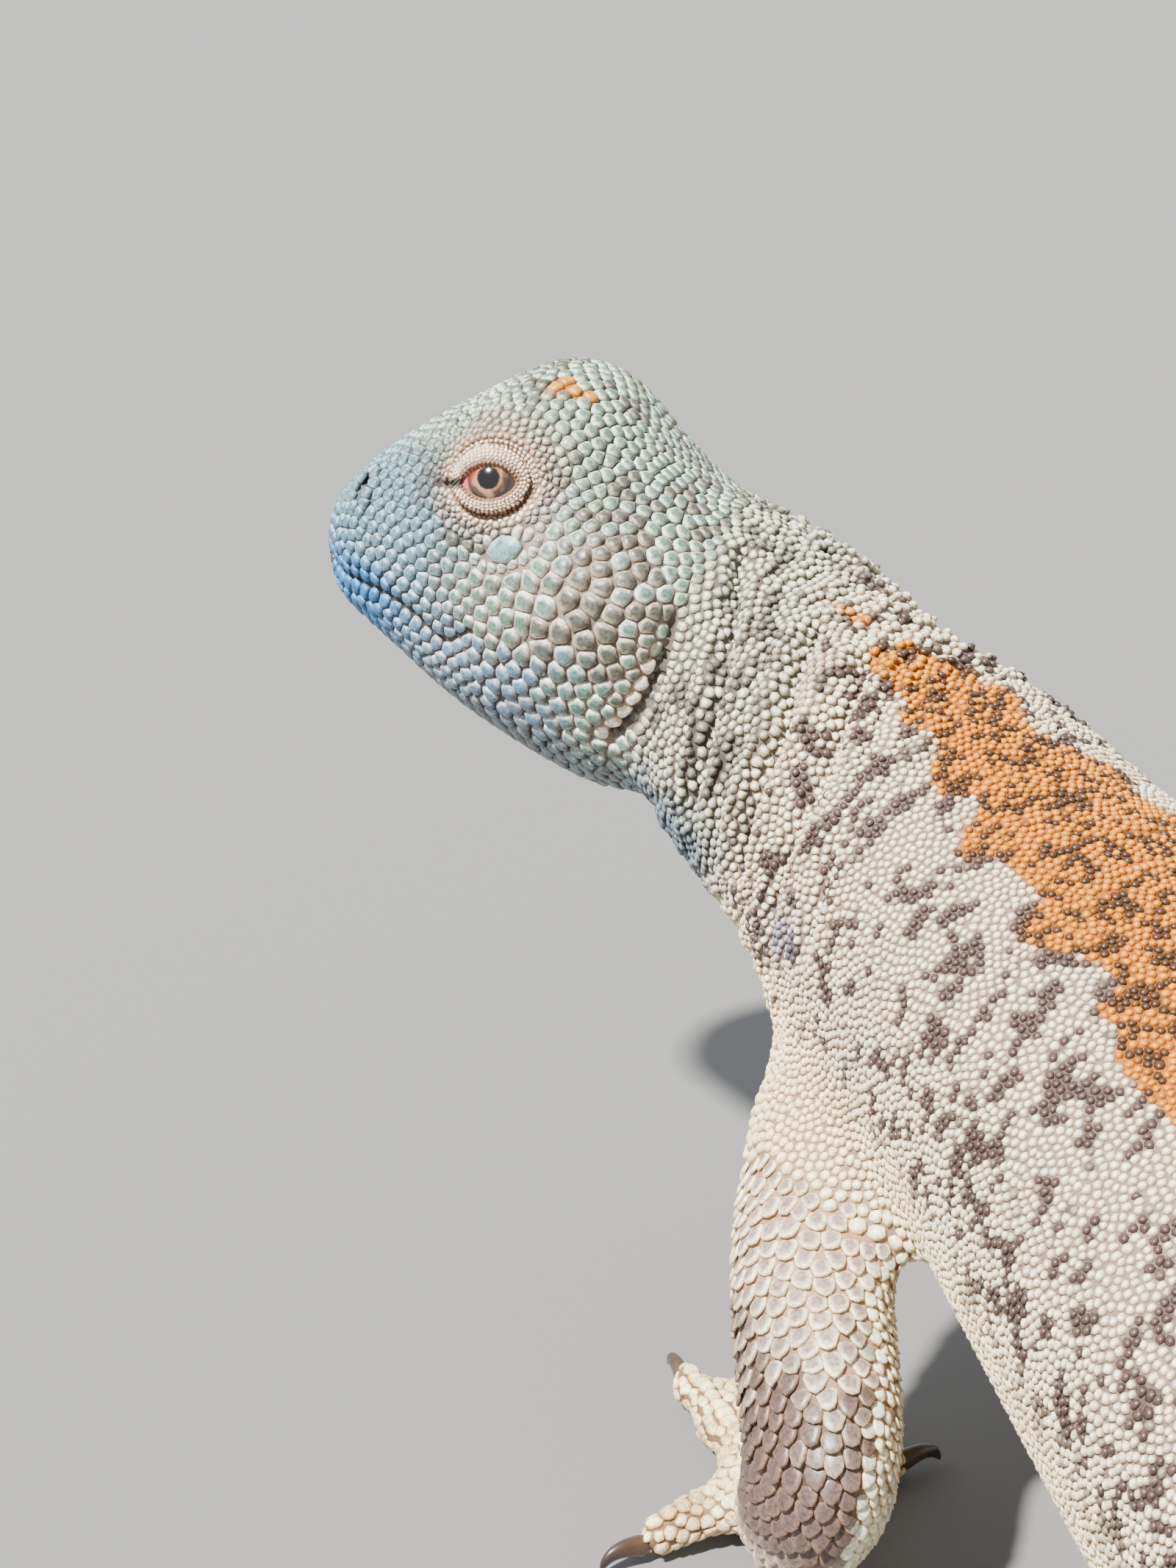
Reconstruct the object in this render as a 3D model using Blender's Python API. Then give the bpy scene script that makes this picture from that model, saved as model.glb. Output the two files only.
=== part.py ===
"""An ornate spiny-tailed lizard (uromastyx) at life size, standing with its head turned to its left.

The animal faces -Y, its left side is +X and it stands on the floor at z = 0. Blender works in
metres, so a length below is written in millimetres times MM. The body is modelled whole from
lofted pieces, melted together and parted by thin cuts. Eye sockets, nostrils, mouth line and ear
openings are then cut, and the spines of the tail are fused to its lengths.
"""
import math
import random

import bmesh
import bpy
import numpy as np
from mathutils import Matrix, Vector
from mathutils.bvhtree import BVHTree

MM = 0.001
GAP = 0.3 * MM              # space between two pieces that touch in life
COARSE_GRAIN = 0.9 * MM     # grain of the melted trunk and limbs
FINE_GRAIN = 0.55 * MM      # grain of the melted whole
TRUNK_SOFTENING = 10        # rounds of smoothing where the limbs meet the trunk
WHOLE_SOFTENING = 3
SEED = 7

# The head: its place, and its sizes from the snout tip back
HEAD_LENGTH = 34.5 * MM
HEAD_PLACE = Vector((4.2, -30.1, 57.2)) * MM
HEAD_TURN = math.radians(40.5)
HEAD_LIFT = math.radians(16.6)
HEAD_TILT = math.radians(-3.9)
MUZZLE_ROUND = 5.0 * MM
HEAD_SECTIONS = (
    # behind the snout tip, half width, middle height, rise above it, depth below it
    (0.0, 5.6, -0.6, 4.0, 5.4),
    (4.0, 8.0, -0.6, 7.9, 6.8),
    (8.0, 10.0, 0.2, 11.6, 8.8),
    (14.5, 12.2, 1.4, 16.4, 12.2),
    (20.0, 13.6, 1.8, 16.8, 14.0),
    (26.0, 14.6, 1.6, 13.6, 14.8),
    (31.0, 14.6, 1.0, 11.8, 14.4),
    (35.0, 13.6, 0.4, 11.2, 12.8),
    (41.0, 12.4, 0.0, 10.8, 11.4),
)
HEAD_FULLNESS = 0.88
HEAD_FORMS = (
    # behind the snout tip, to the side, height, reach, rise
    (14.0, 9.4, 13.6, 4.2, 0.9),      # brow
    (8.0, 8.6, 6.0, 3.4, -0.7),       # hollow before the eye
    (27.0, 13.0, 3.0, 6.0, 1.0),      # cheek muscle
    (21.0, 12.0, 10.0, 4.0, -0.6),    # temple
    (2.6, 4.4, 3.4, 1.9, 0.45),       # nostril swelling
    (17.0, 11.0, -8.0, 5.0, 0.4),     # lower jaw
)

EYE_RADIUS = 3.2 * MM
EYE_BACK, EYE_SIDE, EYE_HEIGHT = 15.7 * MM, 9.3 * MM, 9.0 * MM
EYE_AXIS = Vector((0.955, 0.10, 0.28))
LID_THICKNESS = 1.0 * MM
LID_OPENING = (2.55 * MM, 1.65 * MM)
LID_SLANT = math.radians(22)

NOSTRIL_BACK, NOSTRIL_SIDE, NOSTRIL_HEIGHT = 2.7 * MM, 4.6 * MM, 3.0 * MM
NOSTRIL_SIZE = (0.9 * MM, 0.45 * MM, 1.0 * MM)

MOUTH_FRONT_HEIGHT, MOUTH_CORNER_HEIGHT = -3.1 * MM, -2.1 * MM
MOUTH_MIDDLE_BACK = 10.0 * MM
MOUTH_SWEEP = math.radians(122)
MOUTH_GROOVE = 0.32 * MM

EAR_BACK, EAR_SIDE, EAR_HEIGHT = 34.0 * MM, 14.0 * MM, 0.4 * MM
EAR_SIZE = (1.8 * MM, 1.1 * MM, 6.4 * MM)
EAR_LEAN = math.radians(10)

# The body axis from the back of the head to the hips
NECK_FROM = (
    # behind the snout tip, middle height, half width, rise, depth, in the head's own directions
    (29.0, 1.6, 13.2, 11.4, 12.8),
    (37.0, 0.8, 12.6, 11.8, 11.0),
)
BODY_SECTIONS = (
    # x, y, z, half width, rise, depth
    (2.4, -18.0, 51.2, 14.4, 14.0, 10.0),
    (0.4, -8.0, 46.2, 16.4, 15.8, 10.6),
    (0.0, 0.0, 43.4, 17.6, 15.6, 12.0),
    (0.0, 15.0, 40.0, 19.8, 14.8, 15.0),
    (0.0, 30.0, 36.6, 23.0, 14.4, 18.2),
    (0.0, 45.0, 33.2, 26.4, 14.2, 21.0),
    (0.0, 60.0, 29.2, 28.4, 14.2, 22.4),
    (0.0, 75.0, 25.0, 28.6, 13.8, 21.4),
    (0.0, 90.0, 20.2, 25.4, 12.8, 18.4),
    (0.0, 102.0, 15.8, 19.8, 11.4, 14.6),
    (0.0, 112.0, 11.6, 16.2, 9.6, 11.6),
)
BODY_FULLNESS = 0.9

# The tail: a length on the floor, bent gently to the right and back
TAIL_ROOT_Y = 112.0 * MM
TAIL_LENGTH = 142.0 * MM
TAIL_STEPS, TAIL_STRIDE = 80, 8
TAIL_WIDTHS = ((0.0, 15.4), (0.12, 14.2), (0.35, 12.8), (0.6, 10.0), (0.8, 7.0), (0.93, 4.8), (1.0, 3.0))
TAIL_RISE_SHARE = 0.56
TAIL_DEPTH_SHARE = 0.52
TAIL_SINK = ((0.0, 1.5 * MM), (0.25, 1.0 * MM), (0.6, 0.45 * MM))     # share of its length, depth of its flat
TAIL_SWING = math.radians(24)

# Whorls of spines round the tail, and the whorls that each length of it starts with
WHORLS = 18
WHORL_FROM, WHORL_TO = 0.085, 0.965
WHORL_CLEARANCE = 0.32
TAIL_CUT_WHORLS = (0, 5, 9, 13)
SPINE_SPACING = 4.8 * MM
SPINE_ARC = math.radians(100)
SPINE_LENGTH_SHARE = 0.95
SPINE_LENGTH_BY_CUT = 0.6
SPINE_SIDE_GAIN = 0.25
SPINE_HEIGHT_SHARE = 0.62
SPINE_LEAN = math.radians(27)
SPINE_ROOT = 1.0 * MM
SPINE_CROWDING = 0.93       # breadth of a spine for its share of the ring
SPINE_RINGS = ((0.0, 1.0, 1.0), (0.6, 0.82, 0.62))      # share of its length, breadth, height

# Limbs: the middle line of each, with its radius, for the animal's left side
LEFT_ARM = (
    # x, y, z, radius
    (8.0, 0.0, 38.5, 6.0),
    (14.0, 2.0, 33.8, 6.0),
    (21.0, 9.8, 25.6, 6.3),
    (25.2, 17.8, 17.6, 6.1),
    (25.0, 15.8, 10.6, 5.6),
    (22.4, 9.6, 6.0, 4.4),
    (21.2, 6.0, 3.9, 3.8),
)
RIGHT_ARM = (
    (-8.0, -2.0, 38.5, 7.0),
    (-14.4, 0.8, 33.8, 6.8),
    (-21.4, 9.6, 25.4, 6.2),
    (-26.8, 16.0, 17.4, 5.7),
    (-27.4, 9.6, 11.4, 5.1),
    (-26.6, 1.2, 6.2, 3.9),
    (-26.0, -3.0, 3.9, 3.4),
)
LEFT_LEG = (
    (9.0, 99.0, 17.0, 9.0),
    (20.0, 93.0, 18.0, 8.4),
    (31.0, 86.0, 18.6, 7.2),
    (38.6, 82.4, 17.2, 6.2),
    (41.0, 90.0, 12.6, 5.6),
    (42.6, 99.0, 7.4, 4.2),
    (44.0, 101.0, 4.2, 3.6),
)
RIGHT_LEG = (
    (-9.0, 99.0, 17.0, 9.0),
    (-20.0, 95.0, 18.0, 8.4),
    (-31.0, 91.0, 18.6, 7.2),
    (-37.6, 89.6, 17.0, 6.2),
    (-41.0, 97.6, 12.4, 5.6),
    (-44.4, 106.6, 7.4, 4.2),
    (-46.6, 108.6, 4.2, 3.6),
)
LIMB_BREADTH = 1.08

# Each limb: its line, its cuts, the middle of its sole and the tip of each claw, inner digit first
LIMBS = {
    ("left", "front"): {
        "names": ("upper_arm", "forearm", "hand"), "line": LEFT_ARM, "breadths": (22, 17, 12),
        "root_cut": ((18.8, 7.0, 28.8), (0.70, 0.10, -0.71)), "foot_cut": (-0.30, -0.79, -0.54),
        "palm": (20.4, 4.2), "tips": ((4.6, 5.6), (6.4, -4.4), (10.0, -12.6), (16.2, -16.0), (34.4, 3.6)),
    },
    ("right", "front"): {
        "names": ("upper_arm", "forearm", "hand"), "line": RIGHT_ARM, "breadths": (22, 17, 12),
        "root_cut": ((-18.8, 5.8, 28.8), (-0.70, 0.10, -0.71)), "foot_cut": (0.1, -0.80, -0.58),
        "palm": (-25.8, -4.4),
        "tips": ((-15.0, -8.0), (-17.6, -16.4), (-23.6, -21.0), (-31.0, -20.0), (-38.0, -10.0)),
    },
    ("left", "hind"): {
        "names": ("thigh", "shin", "foot"), "line": LEFT_LEG, "breadths": (30, 26, 21),
        "root_cut": ((29.2, 87.2, 18.6), (0.95, 0.31, 0.0)), "foot_cut": (0.2, 0.2, -0.95),
        "palm": (46.0, 98.4),
        "tips": ((41.0, 86.4), (46.4, 80.4), (53.6, 78.0), (61.4, 81.4), (61.0, 97.0)),
    },
    ("right", "hind"): {
        "names": ("thigh", "shin", "foot"), "line": RIGHT_LEG, "breadths": (30, 26, 21),
        "root_cut": ((-28.6, 91.8, 18.6), (-0.95, 0.31, 0.0)), "foot_cut": (-0.2, 0.2, -0.95),
        "palm": (-49.0, 106.4),
        "tips": ((-43.2, 95.0), (-48.0, 88.0), (-55.6, 84.8), (-64.4, 88.4), (-64.6, 104.4)),
    },
}
BODY_CUT_BREADTH = 62 * MM
FLOOR_SIZE = (40 * MM, 600 * MM, 800 * MM)
HEAD_CUT_BACK = 38.5 * MM
NECK_CUT = ((1.4, -13.4, 48.6), (-0.18, 0.86, -0.46))
SCRAP_POINTS = 60           # a loose bit with fewer points than this is no piece of the animal
PALM_SIZE = (4.4 * MM, 4.6 * MM, 2.9 * MM)
PALM_HEIGHT = 2.5 * MM
DIGIT_RADIUS = 2.15 * MM
DIGIT_TAPERS = (1.0, 1.02, 0.92, 0.8)
DIGIT_ROOT_HEIGHT, DIGIT_TIP_HEIGHT = 2.6, 1.45     # of the middle line, in millimetres
DIGIT_JOINTS = ((0.55, 2.5), (0.85, 1.9))           # share of the digit's flesh, height in millimetres
DIGIT_ROOT_INSET = 1.5                              # how far from the middle of the sole a digit starts
DIGIT_OVERRUN = 0.8                                 # how far the digit runs on before its end is trimmed
TRIM_REACH, TRIM_BREADTH = 2.2 * MM, 5.0 * MM
CLAW_LENGTH = 3.2 * MM
CLAW_RADIUS = 0.8 * MM
CLAW_TIP_RADIUS = 0.14 * MM
CLAW_SLIMNESS = 0.72        # breadth of a claw for its height
CLAW_BEND = math.radians(48)
CLAW_ARCH, CLAW_DROP = 0.12, 0.30                   # shares of the claw's length
CLAW_CLEARANCE = 0.05 * MM  # height of a claw's lowest point over the floor

# Triangles that each kind of piece keeps before its finer forms are cut or fused
BUDGET = {
    "head": 1900, "neck": 360, "torso": 1100, "tail": 220, "upper": 220, "forearm": 180, "hand": 360,
    "thigh": 230, "shin": 180, "foot": 380,
}

FINISHES = {
    "head": "head_scales", "neck": "body_scales", "torso": "body_scales", "tail": "tail_scales",
    "upper": "limb_scales", "forearm": "limb_scales", "hand": "limb_scales", "thigh": "limb_scales",
    "shin": "limb_scales", "foot": "limb_scales", "claw": "claw", "eye": "eye",
}
COLOURS = {
    # red, green, blue, roughness
    "head_scales": (0.42, 0.50, 0.48, 0.55),
    "body_scales": (0.55, 0.50, 0.40, 0.6),
    "limb_scales": (0.62, 0.52, 0.42, 0.6),
    "tail_scales": (0.50, 0.38, 0.24, 0.65),
    "claw": (0.07, 0.05, 0.04, 0.35),
    "eye": (0.45, 0.28, 0.12, 0.12),
}


def clear_scene():
    for thing in list(bpy.data.objects):
        bpy.data.objects.remove(thing, do_unlink=True)


def material(name):
    found = bpy.data.materials.get(name)
    if found:
        return found
    red, green, blue, roughness = COLOURS[name]
    made = bpy.data.materials.new(name)
    made.use_nodes = True
    shader = made.node_tree.nodes["Principled BSDF"]
    shader.inputs["Base Color"].default_value = (red, green, blue, 1.0)
    shader.inputs["Roughness"].default_value = roughness
    shader.inputs["Metallic"].default_value = 0.0
    return made


def mesh_object(name, points, faces):
    """A closed mesh object, with its faces pointing out."""
    mesh = bpy.data.meshes.new(name)
    mesh.from_pydata([tuple(p) for p in points], [], faces)
    work = bmesh.new()
    work.from_mesh(mesh)
    bmesh.ops.recalc_face_normals(work, faces=work.faces)
    work.to_mesh(mesh)
    work.free()
    made = bpy.data.objects.new(name, mesh)
    bpy.context.scene.collection.objects.link(made)
    return made


def loft(name, rings):
    """A closed skin over rings of equally many points, with a fan on each end."""
    count = len(rings[0])
    points = [p for ring in rings for p in ring]
    faces = []
    for i in range(len(rings) - 1):
        for j in range(count):
            k = (j + 1) % count
            faces.append((i * count + j, i * count + k, (i + 1) * count + k, (i + 1) * count + j))
    for first, ring in ((0, rings[0]), ((len(rings) - 1) * count, rings[-1])):
        points.append(np.mean(ring, axis=0))
        middle = len(points) - 1
        for j in range(count):
            faces.append((first + j, first + (j + 1) % count, middle))
    return mesh_object(name, points, faces)


def smooth_rows(rows, steps):
    """Rows of numbers read from a smooth curve through the given rows."""
    rows = np.asarray(rows, float)
    padded = np.vstack([2 * rows[0] - rows[1], rows, 2 * rows[-1] - rows[-2]])
    result = []
    for i in range(len(rows) - 1):
        before, start, end, after = padded[i:i + 4]
        for t in np.linspace(0, 1, steps, endpoint=False):
            result.append(0.5 * (2 * start + (end - before) * t
                                 + (2 * before - 5 * start + 4 * end - after) * t ** 2
                                 + (3 * start - before - 3 * end + after) * t ** 3))
    result.append(rows[-1])
    return np.array(result)


def section(count, half_width, rise, depth, fullness):
    """One cross-section: columns are to the left and up. It starts at the left and goes over the top."""
    turn = np.linspace(0, 2 * math.pi, count, endpoint=False)
    across = half_width * np.sign(np.cos(turn)) * np.abs(np.cos(turn)) ** fullness
    height = np.sign(np.sin(turn)) * np.abs(np.sin(turn)) ** fullness
    height = np.where(height > 0, rise, depth) * height
    return np.stack([across, height], 1)


def frames(points):
    """At each point of a line that runs backwards: its direction, its left and its upward side."""
    along = np.gradient(points, axis=0)
    along /= np.linalg.norm(along, axis=1)[:, None]
    left = np.cross(along, (0, 0, 1))
    left /= np.linalg.norm(left, axis=1)[:, None]
    return along, left, np.cross(left, along)


def swept(name, rows, fullness, count=40):
    """A loft along rows of x, y, z, half width, rise and depth."""
    _, left, up = frames(rows[:, :3])
    rings = []
    for row, side, top in zip(rows, left, up):
        flat = section(count, row[3], row[4], row[5], fullness)
        rings.append(row[:3] + flat[:, :1] * side + flat[:, 1:] * top)
    return loft(name, rings)


def head_matrix():
    turn = Matrix.Rotation(HEAD_TURN, 4, "Z")
    lift = Matrix.Rotation(-HEAD_LIFT, 4, "X")
    tilt = Matrix.Rotation(HEAD_TILT, 4, "Y")
    return Matrix.Translation(HEAD_PLACE) @ turn @ lift @ tilt


def on_head(side, back, height):
    """A place given by its distance to the left, behind the snout tip, and above the head's axis."""
    return head_matrix() @ Vector((side, back - HEAD_LENGTH, height))


def apply_modifiers(thing):
    graph = bpy.context.evaluated_depsgraph_get()
    mesh = bpy.data.meshes.new_from_object(thing.evaluated_get(graph))
    thing.modifiers.clear()
    old = thing.data
    thing.data = mesh
    bpy.data.meshes.remove(old)


def keep_largest(thing):
    """Drop every closed surface of the mesh but the one with the largest box."""
    work = bmesh.new()
    work.from_mesh(thing.data)
    groups = loose_groups(work)
    groups.sort(key=box_volume)
    for group in groups[:-1]:
        bmesh.ops.delete(work, geom=group, context="VERTS")
    work.to_mesh(thing.data)
    work.free()


def loose_groups(work):
    work.verts.ensure_lookup_table()
    seen = set()
    groups = []
    for start in work.verts:
        if start.index in seen:
            continue
        seen.add(start.index)
        group, front = [start], [start]
        while front:
            vert = front.pop()
            for edge in vert.link_edges:
                other = edge.other_vert(vert)
                if other.index not in seen:
                    seen.add(other.index)
                    group.append(other)
                    front.append(other)
        groups.append(group)
    return groups


def box_volume(group):
    places = np.array([v.co for v in group])
    return float(np.prod(np.ptp(places, axis=0) + 1e-9))


def is_closed(thing):
    work = bmesh.new()
    work.from_mesh(thing.data)
    closed = all(len(edge.link_faces) == 2 for edge in work.edges)
    work.free()
    return closed


def boolean(thing, pieces, operation, solvers=("EXACT", "MANIFOLD")):
    """Join the pieces to the object or cut them from it, with the first solver that leaves it closed."""
    group = bpy.data.collections.new("pieces")
    bpy.context.scene.collection.children.link(group)
    for piece in pieces:
        bpy.context.scene.collection.objects.unlink(piece)
        group.objects.link(piece)
    before = thing.data.copy()
    for solver in solvers:
        thing.data = before.copy()
        step = thing.modifiers.new("join", "BOOLEAN")
        step.operand_type = "COLLECTION"
        step.collection = group
        step.operation = operation
        step.solver = solver
        apply_modifiers(thing)
        if is_closed(thing):
            break
        print("not closed by", solver, thing.name)
    for piece in list(group.objects):
        bpy.data.objects.remove(piece, do_unlink=True)
    bpy.data.collections.remove(group)


def melt(name, pieces, grain, smoothing):
    """One skin round all the pieces, with soft joins."""
    joined = bmesh.new()
    for piece in pieces:
        joined.from_mesh(piece.data)
        bpy.data.objects.remove(piece, do_unlink=True)
    mesh = bpy.data.meshes.new(name)
    joined.to_mesh(mesh)
    joined.free()
    made = bpy.data.objects.new(name, mesh)
    bpy.context.scene.collection.objects.link(made)
    remesh = made.modifiers.new("melt", "REMESH")
    remesh.mode = "VOXEL"
    remesh.voxel_size = grain
    soften = made.modifiers.new("soften", "SMOOTH")
    soften.factor = 0.5
    soften.iterations = smoothing
    apply_modifiers(made)
    return made


def thin_out(thing, triangles):
    """Reduce the mesh to about so many triangles, and drop the loose flaps that this can leave."""
    now = sum(len(p.vertices) - 2 for p in thing.data.polygons)
    if now <= triangles:
        return
    step = thing.modifiers.new("fewer", "DECIMATE")
    step.ratio = triangles / now
    step.use_collapse_triangulate = True
    apply_modifiers(thing)
    work = bmesh.new()
    work.from_mesh(thing.data)
    flaps = [face for face in work.faces if any(len(edge.link_faces) == 1 for edge in face.edges)]
    while flaps:
        bmesh.ops.delete(work, geom=flaps, context="FACES")
        flaps = [face for face in work.faces if any(len(edge.link_faces) == 1 for edge in face.edges)]
    work.to_mesh(thing.data)
    work.free()


def box(name, place, direction, size):
    """A box whose first side runs along a direction."""
    bpy_mesh = bpy.data.meshes.new(name)
    work = bmesh.new()
    bmesh.ops.create_cube(work, size=1.0)
    turn = Vector(direction).normalized().to_track_quat("X", "Z").to_matrix().to_4x4()
    work.transform(Matrix.Translation(place) @ turn @ Matrix.Diagonal((*size, 1.0)))
    work.to_mesh(bpy_mesh)
    work.free()
    made = bpy.data.objects.new(name, bpy_mesh)
    bpy.context.scene.collection.objects.link(made)
    return made


def ball(name, matrix, rings=12):
    mesh = bpy.data.meshes.new(name)
    work = bmesh.new()
    bmesh.ops.create_uvsphere(work, u_segments=2 * rings, v_segments=rings, radius=1.0)
    work.transform(matrix)
    work.to_mesh(mesh)
    work.free()
    made = bpy.data.objects.new(name, mesh)
    bpy.context.scene.collection.objects.link(made)
    return made


def make_head():
    """The head as one loft from the snout tip to the nape, with its swellings and hollows."""
    rows = smooth_rows(np.array(HEAD_SECTIONS), 6) * MM
    start = np.linspace(0.02, 1.0, 9) ** 2 * MUZZLE_ROUND
    rows = np.vstack([[np.interp(b, rows[:, 0], rows[:, i]) for i in range(5)] for b in start]
                     + [rows[rows[:, 0] > MUZZLE_ROUND]])
    rings = []
    for back, half_width, middle, rise, depth in rows:
        nose = min(back / MUZZLE_ROUND, 1.0)
        swell = math.sqrt(1 - (1 - nose) ** 2)
        flat = section(72, half_width * swell, rise * swell, depth * swell, HEAD_FULLNESS)
        ring = np.stack([flat[:, 0], np.full(72, back - HEAD_LENGTH), middle + flat[:, 1]], 1)
        rings.append(ring)
    points = np.array(rings)
    shift = np.zeros_like(points)
    for back, side, height, reach, rise in HEAD_FORMS:
        for hand in (-1, 1):
            centre = np.array([hand * side, back - HEAD_LENGTH / MM, height]) * MM
            away = np.linalg.norm(points - centre, axis=2)
            outward = points - np.array([0, 0, 2.0 * MM])
            outward[:, :, 1] = 0
            outward /= np.linalg.norm(outward, axis=2)[:, :, None] + 1e-9
            shift += outward * (rise * MM * np.exp(-(away / (reach * MM)) ** 2))[:, :, None]
    head = loft("head_loft", list(points + shift))
    head.data.transform(head_matrix())
    return head


def eye_place(hand):
    centre = on_head(hand * EYE_SIDE, EYE_BACK, EYE_HEIGHT)
    axis = Vector((hand * EYE_AXIS.x, EYE_AXIS.y, EYE_AXIS.z)).normalized()
    return centre, (head_matrix().to_3x3() @ axis).normalized()


def eye_frame(hand):
    """Eye centre with local Z out of the head and local X towards the snout along the lids."""
    centre, axis = eye_place(hand)
    forward = head_matrix().to_3x3() @ Vector((0, -math.cos(LID_SLANT), -math.sin(LID_SLANT)))
    along = (forward - axis * forward.dot(axis)).normalized()
    across = axis.cross(along)
    turn = Matrix((along, across, axis)).transposed().to_4x4()
    return Matrix.Translation(centre) @ turn


def lid_mound(hand):
    size = EYE_RADIUS + LID_THICKNESS
    return ball("lids", eye_frame(hand) @ Matrix.Diagonal((size, size, size, 1)), 16)


def make_limb(name, rows):
    line = smooth_rows(rows, 6) * MM
    along = np.gradient(line[:, :3], axis=0)
    along /= np.linalg.norm(along, axis=1)[:, None]
    side = np.cross(along, (1, 0, 0.3))
    side /= np.linalg.norm(side, axis=1)[:, None]
    other = np.cross(side, along)
    turn = np.linspace(0, 2 * math.pi, 24, endpoint=False)
    rings = []
    for place, radius, one, two in zip(line[:, :3], line[:, 3], side, other):
        rings.append(place + radius * (np.outer(np.cos(turn), one) * LIMB_BREADTH
                                       + np.outer(np.sin(turn), two) / LIMB_BREADTH))
    return loft(name, rings)


def digit_line(palm, tip):
    """Middle line of a digit from the palm to where its claw starts, and the claw's direction."""
    root = np.array([palm[0], palm[1], 0])
    away = np.array([tip[0], tip[1], 0]) - root
    reach = np.linalg.norm(away)
    away /= reach
    flesh = reach - CLAW_LENGTH / MM
    rows = [root + away * DIGIT_ROOT_INSET + (0, 0, DIGIT_ROOT_HEIGHT)]
    rows += [root + away * flesh * share + (0, 0, height) for share, height in DIGIT_JOINTS]
    rows.append(root + away * (flesh + DIGIT_OVERRUN) + (0, 0, DIGIT_TIP_HEIGHT))
    return np.array(rows), away


def make_digit(name, palm, tip):
    rows, _ = digit_line(palm, tip)
    radii = DIGIT_RADIUS / MM * np.array(DIGIT_TAPERS)
    line = smooth_rows(np.column_stack([rows, radii]), 5) * MM
    rows6 = np.column_stack([line[:, :3], line[:, 3], line[:, 3], line[:, 3]])
    return swept(name, rows6, 1.0, 16)


def claw_start(palm, tip):
    """Where a claw's root face lies, and the direction that it faces."""
    rows, away = digit_line(palm, tip)
    return Vector(rows[-1] * MM) - Vector(away) * DIGIT_OVERRUN * MM, Vector(away)


def make_claw(name, palm, tip):
    """A curved, pointed claw whose root face stands a gap in front of the digit's end."""
    start, away = claw_start(palm, tip)
    start = start + away * GAP
    turn = np.linspace(0, 2 * math.pi, 6, endpoint=False)
    side = Vector((-away.y, away.x, 0))
    rings = []
    for share in (0.0, 0.36, 0.72, 1.0):
        bend = share * CLAW_BEND
        place = start + away * (CLAW_LENGTH * math.sin(share * 1.35) / math.sin(1.35))
        place.z += CLAW_LENGTH * (CLAW_ARCH * math.sin(share * math.pi) - CLAW_DROP * share ** 2)
        radius = CLAW_RADIUS * (1 - share) ** 0.75 + CLAW_TIP_RADIUS
        over = Vector((away.x * math.sin(bend), away.y * math.sin(bend), math.cos(bend)))
        rings.append([place + side * radius * CLAW_SLIMNESS * math.cos(a) + over * radius * math.sin(a)
                      for a in turn])
    low = min(p.z for ring in rings for p in ring)
    lift = Vector((0, 0, max(CLAW_CLEARANCE - low, 0)))
    rings = [[np.array(p + lift * i / (len(rings) - 1)) for p in ring] for i, ring in enumerate(rings)]
    return loft(name, rings)


def make_foot(palm, tips):
    centre = Vector((palm[0] * MM, palm[1] * MM, PALM_HEIGHT))
    pieces = [ball("palm", Matrix.Translation(centre) @ Matrix.Diagonal((*PALM_SIZE, 1)))]
    return pieces + [make_digit("digit", palm, tip) for tip in tips]


def tail_rows():
    """Rows of x, y, z, half width, rise and depth along the tail."""
    shares = np.linspace(0, 1, TAIL_STEPS + 1)
    keys = smooth_rows(TAIL_WIDTHS, 8)
    widths = np.interp(shares, keys[:, 0], keys[:, 1]) * MM
    heading = TAIL_SWING * np.sin(shares * math.pi * 0.9) ** 1.2
    step = TAIL_LENGTH / TAIL_STEPS
    x = -np.cumsum(np.sin(heading)) * step
    y = np.cumsum(np.cos(heading)) * step
    rise, depth = widths * TAIL_RISE_SHARE, widths * TAIL_DEPTH_SHARE
    sink = np.interp(shares, *zip(*TAIL_SINK))
    return np.column_stack([x - x[0], TAIL_ROOT_Y + y - y[0], depth - sink, widths, rise, depth])


def body_rows():
    neck = []
    for back, height, half_width, rise, depth in NECK_FROM:
        neck.append([*on_head(0, back * MM, height * MM), half_width * MM, rise * MM, depth * MM])
    trunk = np.array(BODY_SECTIONS) * MM
    tail = tail_rows()[TAIL_STRIDE::TAIL_STRIDE]
    return smooth_rows(np.vstack([neck, trunk, tail]), 6)


def whole_animal():
    limbs = [make_limb("limb", limb["line"]) for limb in LIMBS.values()]
    trunk = melt("trunk", [swept("body", body_rows(), BODY_FULLNESS)] + limbs, COARSE_GRAIN, TRUNK_SOFTENING)
    pieces = [trunk, make_head(), lid_mound(-1), lid_mound(1)]
    for limb in LIMBS.values():
        pieces += make_foot(limb["palm"], limb["tips"])
    return melt("whole", pieces, FINE_GRAIN, WHOLE_SOFTENING)


def at_share(rows, share):
    """The row, direction, left and upward side of a line at a share of its length."""
    along, left, up = frames(rows[:, :3])
    spot = share * (len(rows) - 1)
    i = min(int(spot), len(rows) - 2)
    row = rows[i] + (rows[i + 1] - rows[i]) * (spot - i)
    return row, along[i], left[i], up[i]


def whorl_share(number):
    """Where a whorl lies along the tail. Whorls stand closer together towards the tip."""
    share = number / (WHORLS - 1)
    return WHORL_FROM + (WHORL_TO - WHORL_FROM) * share * (1.25 - 0.25 * share)


def tail_cut_share(number):
    """A cut through the tail just in front of a whorl."""
    return whorl_share(number) - WHORL_CLEARANCE * (whorl_share(number + 1) - whorl_share(number))


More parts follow.
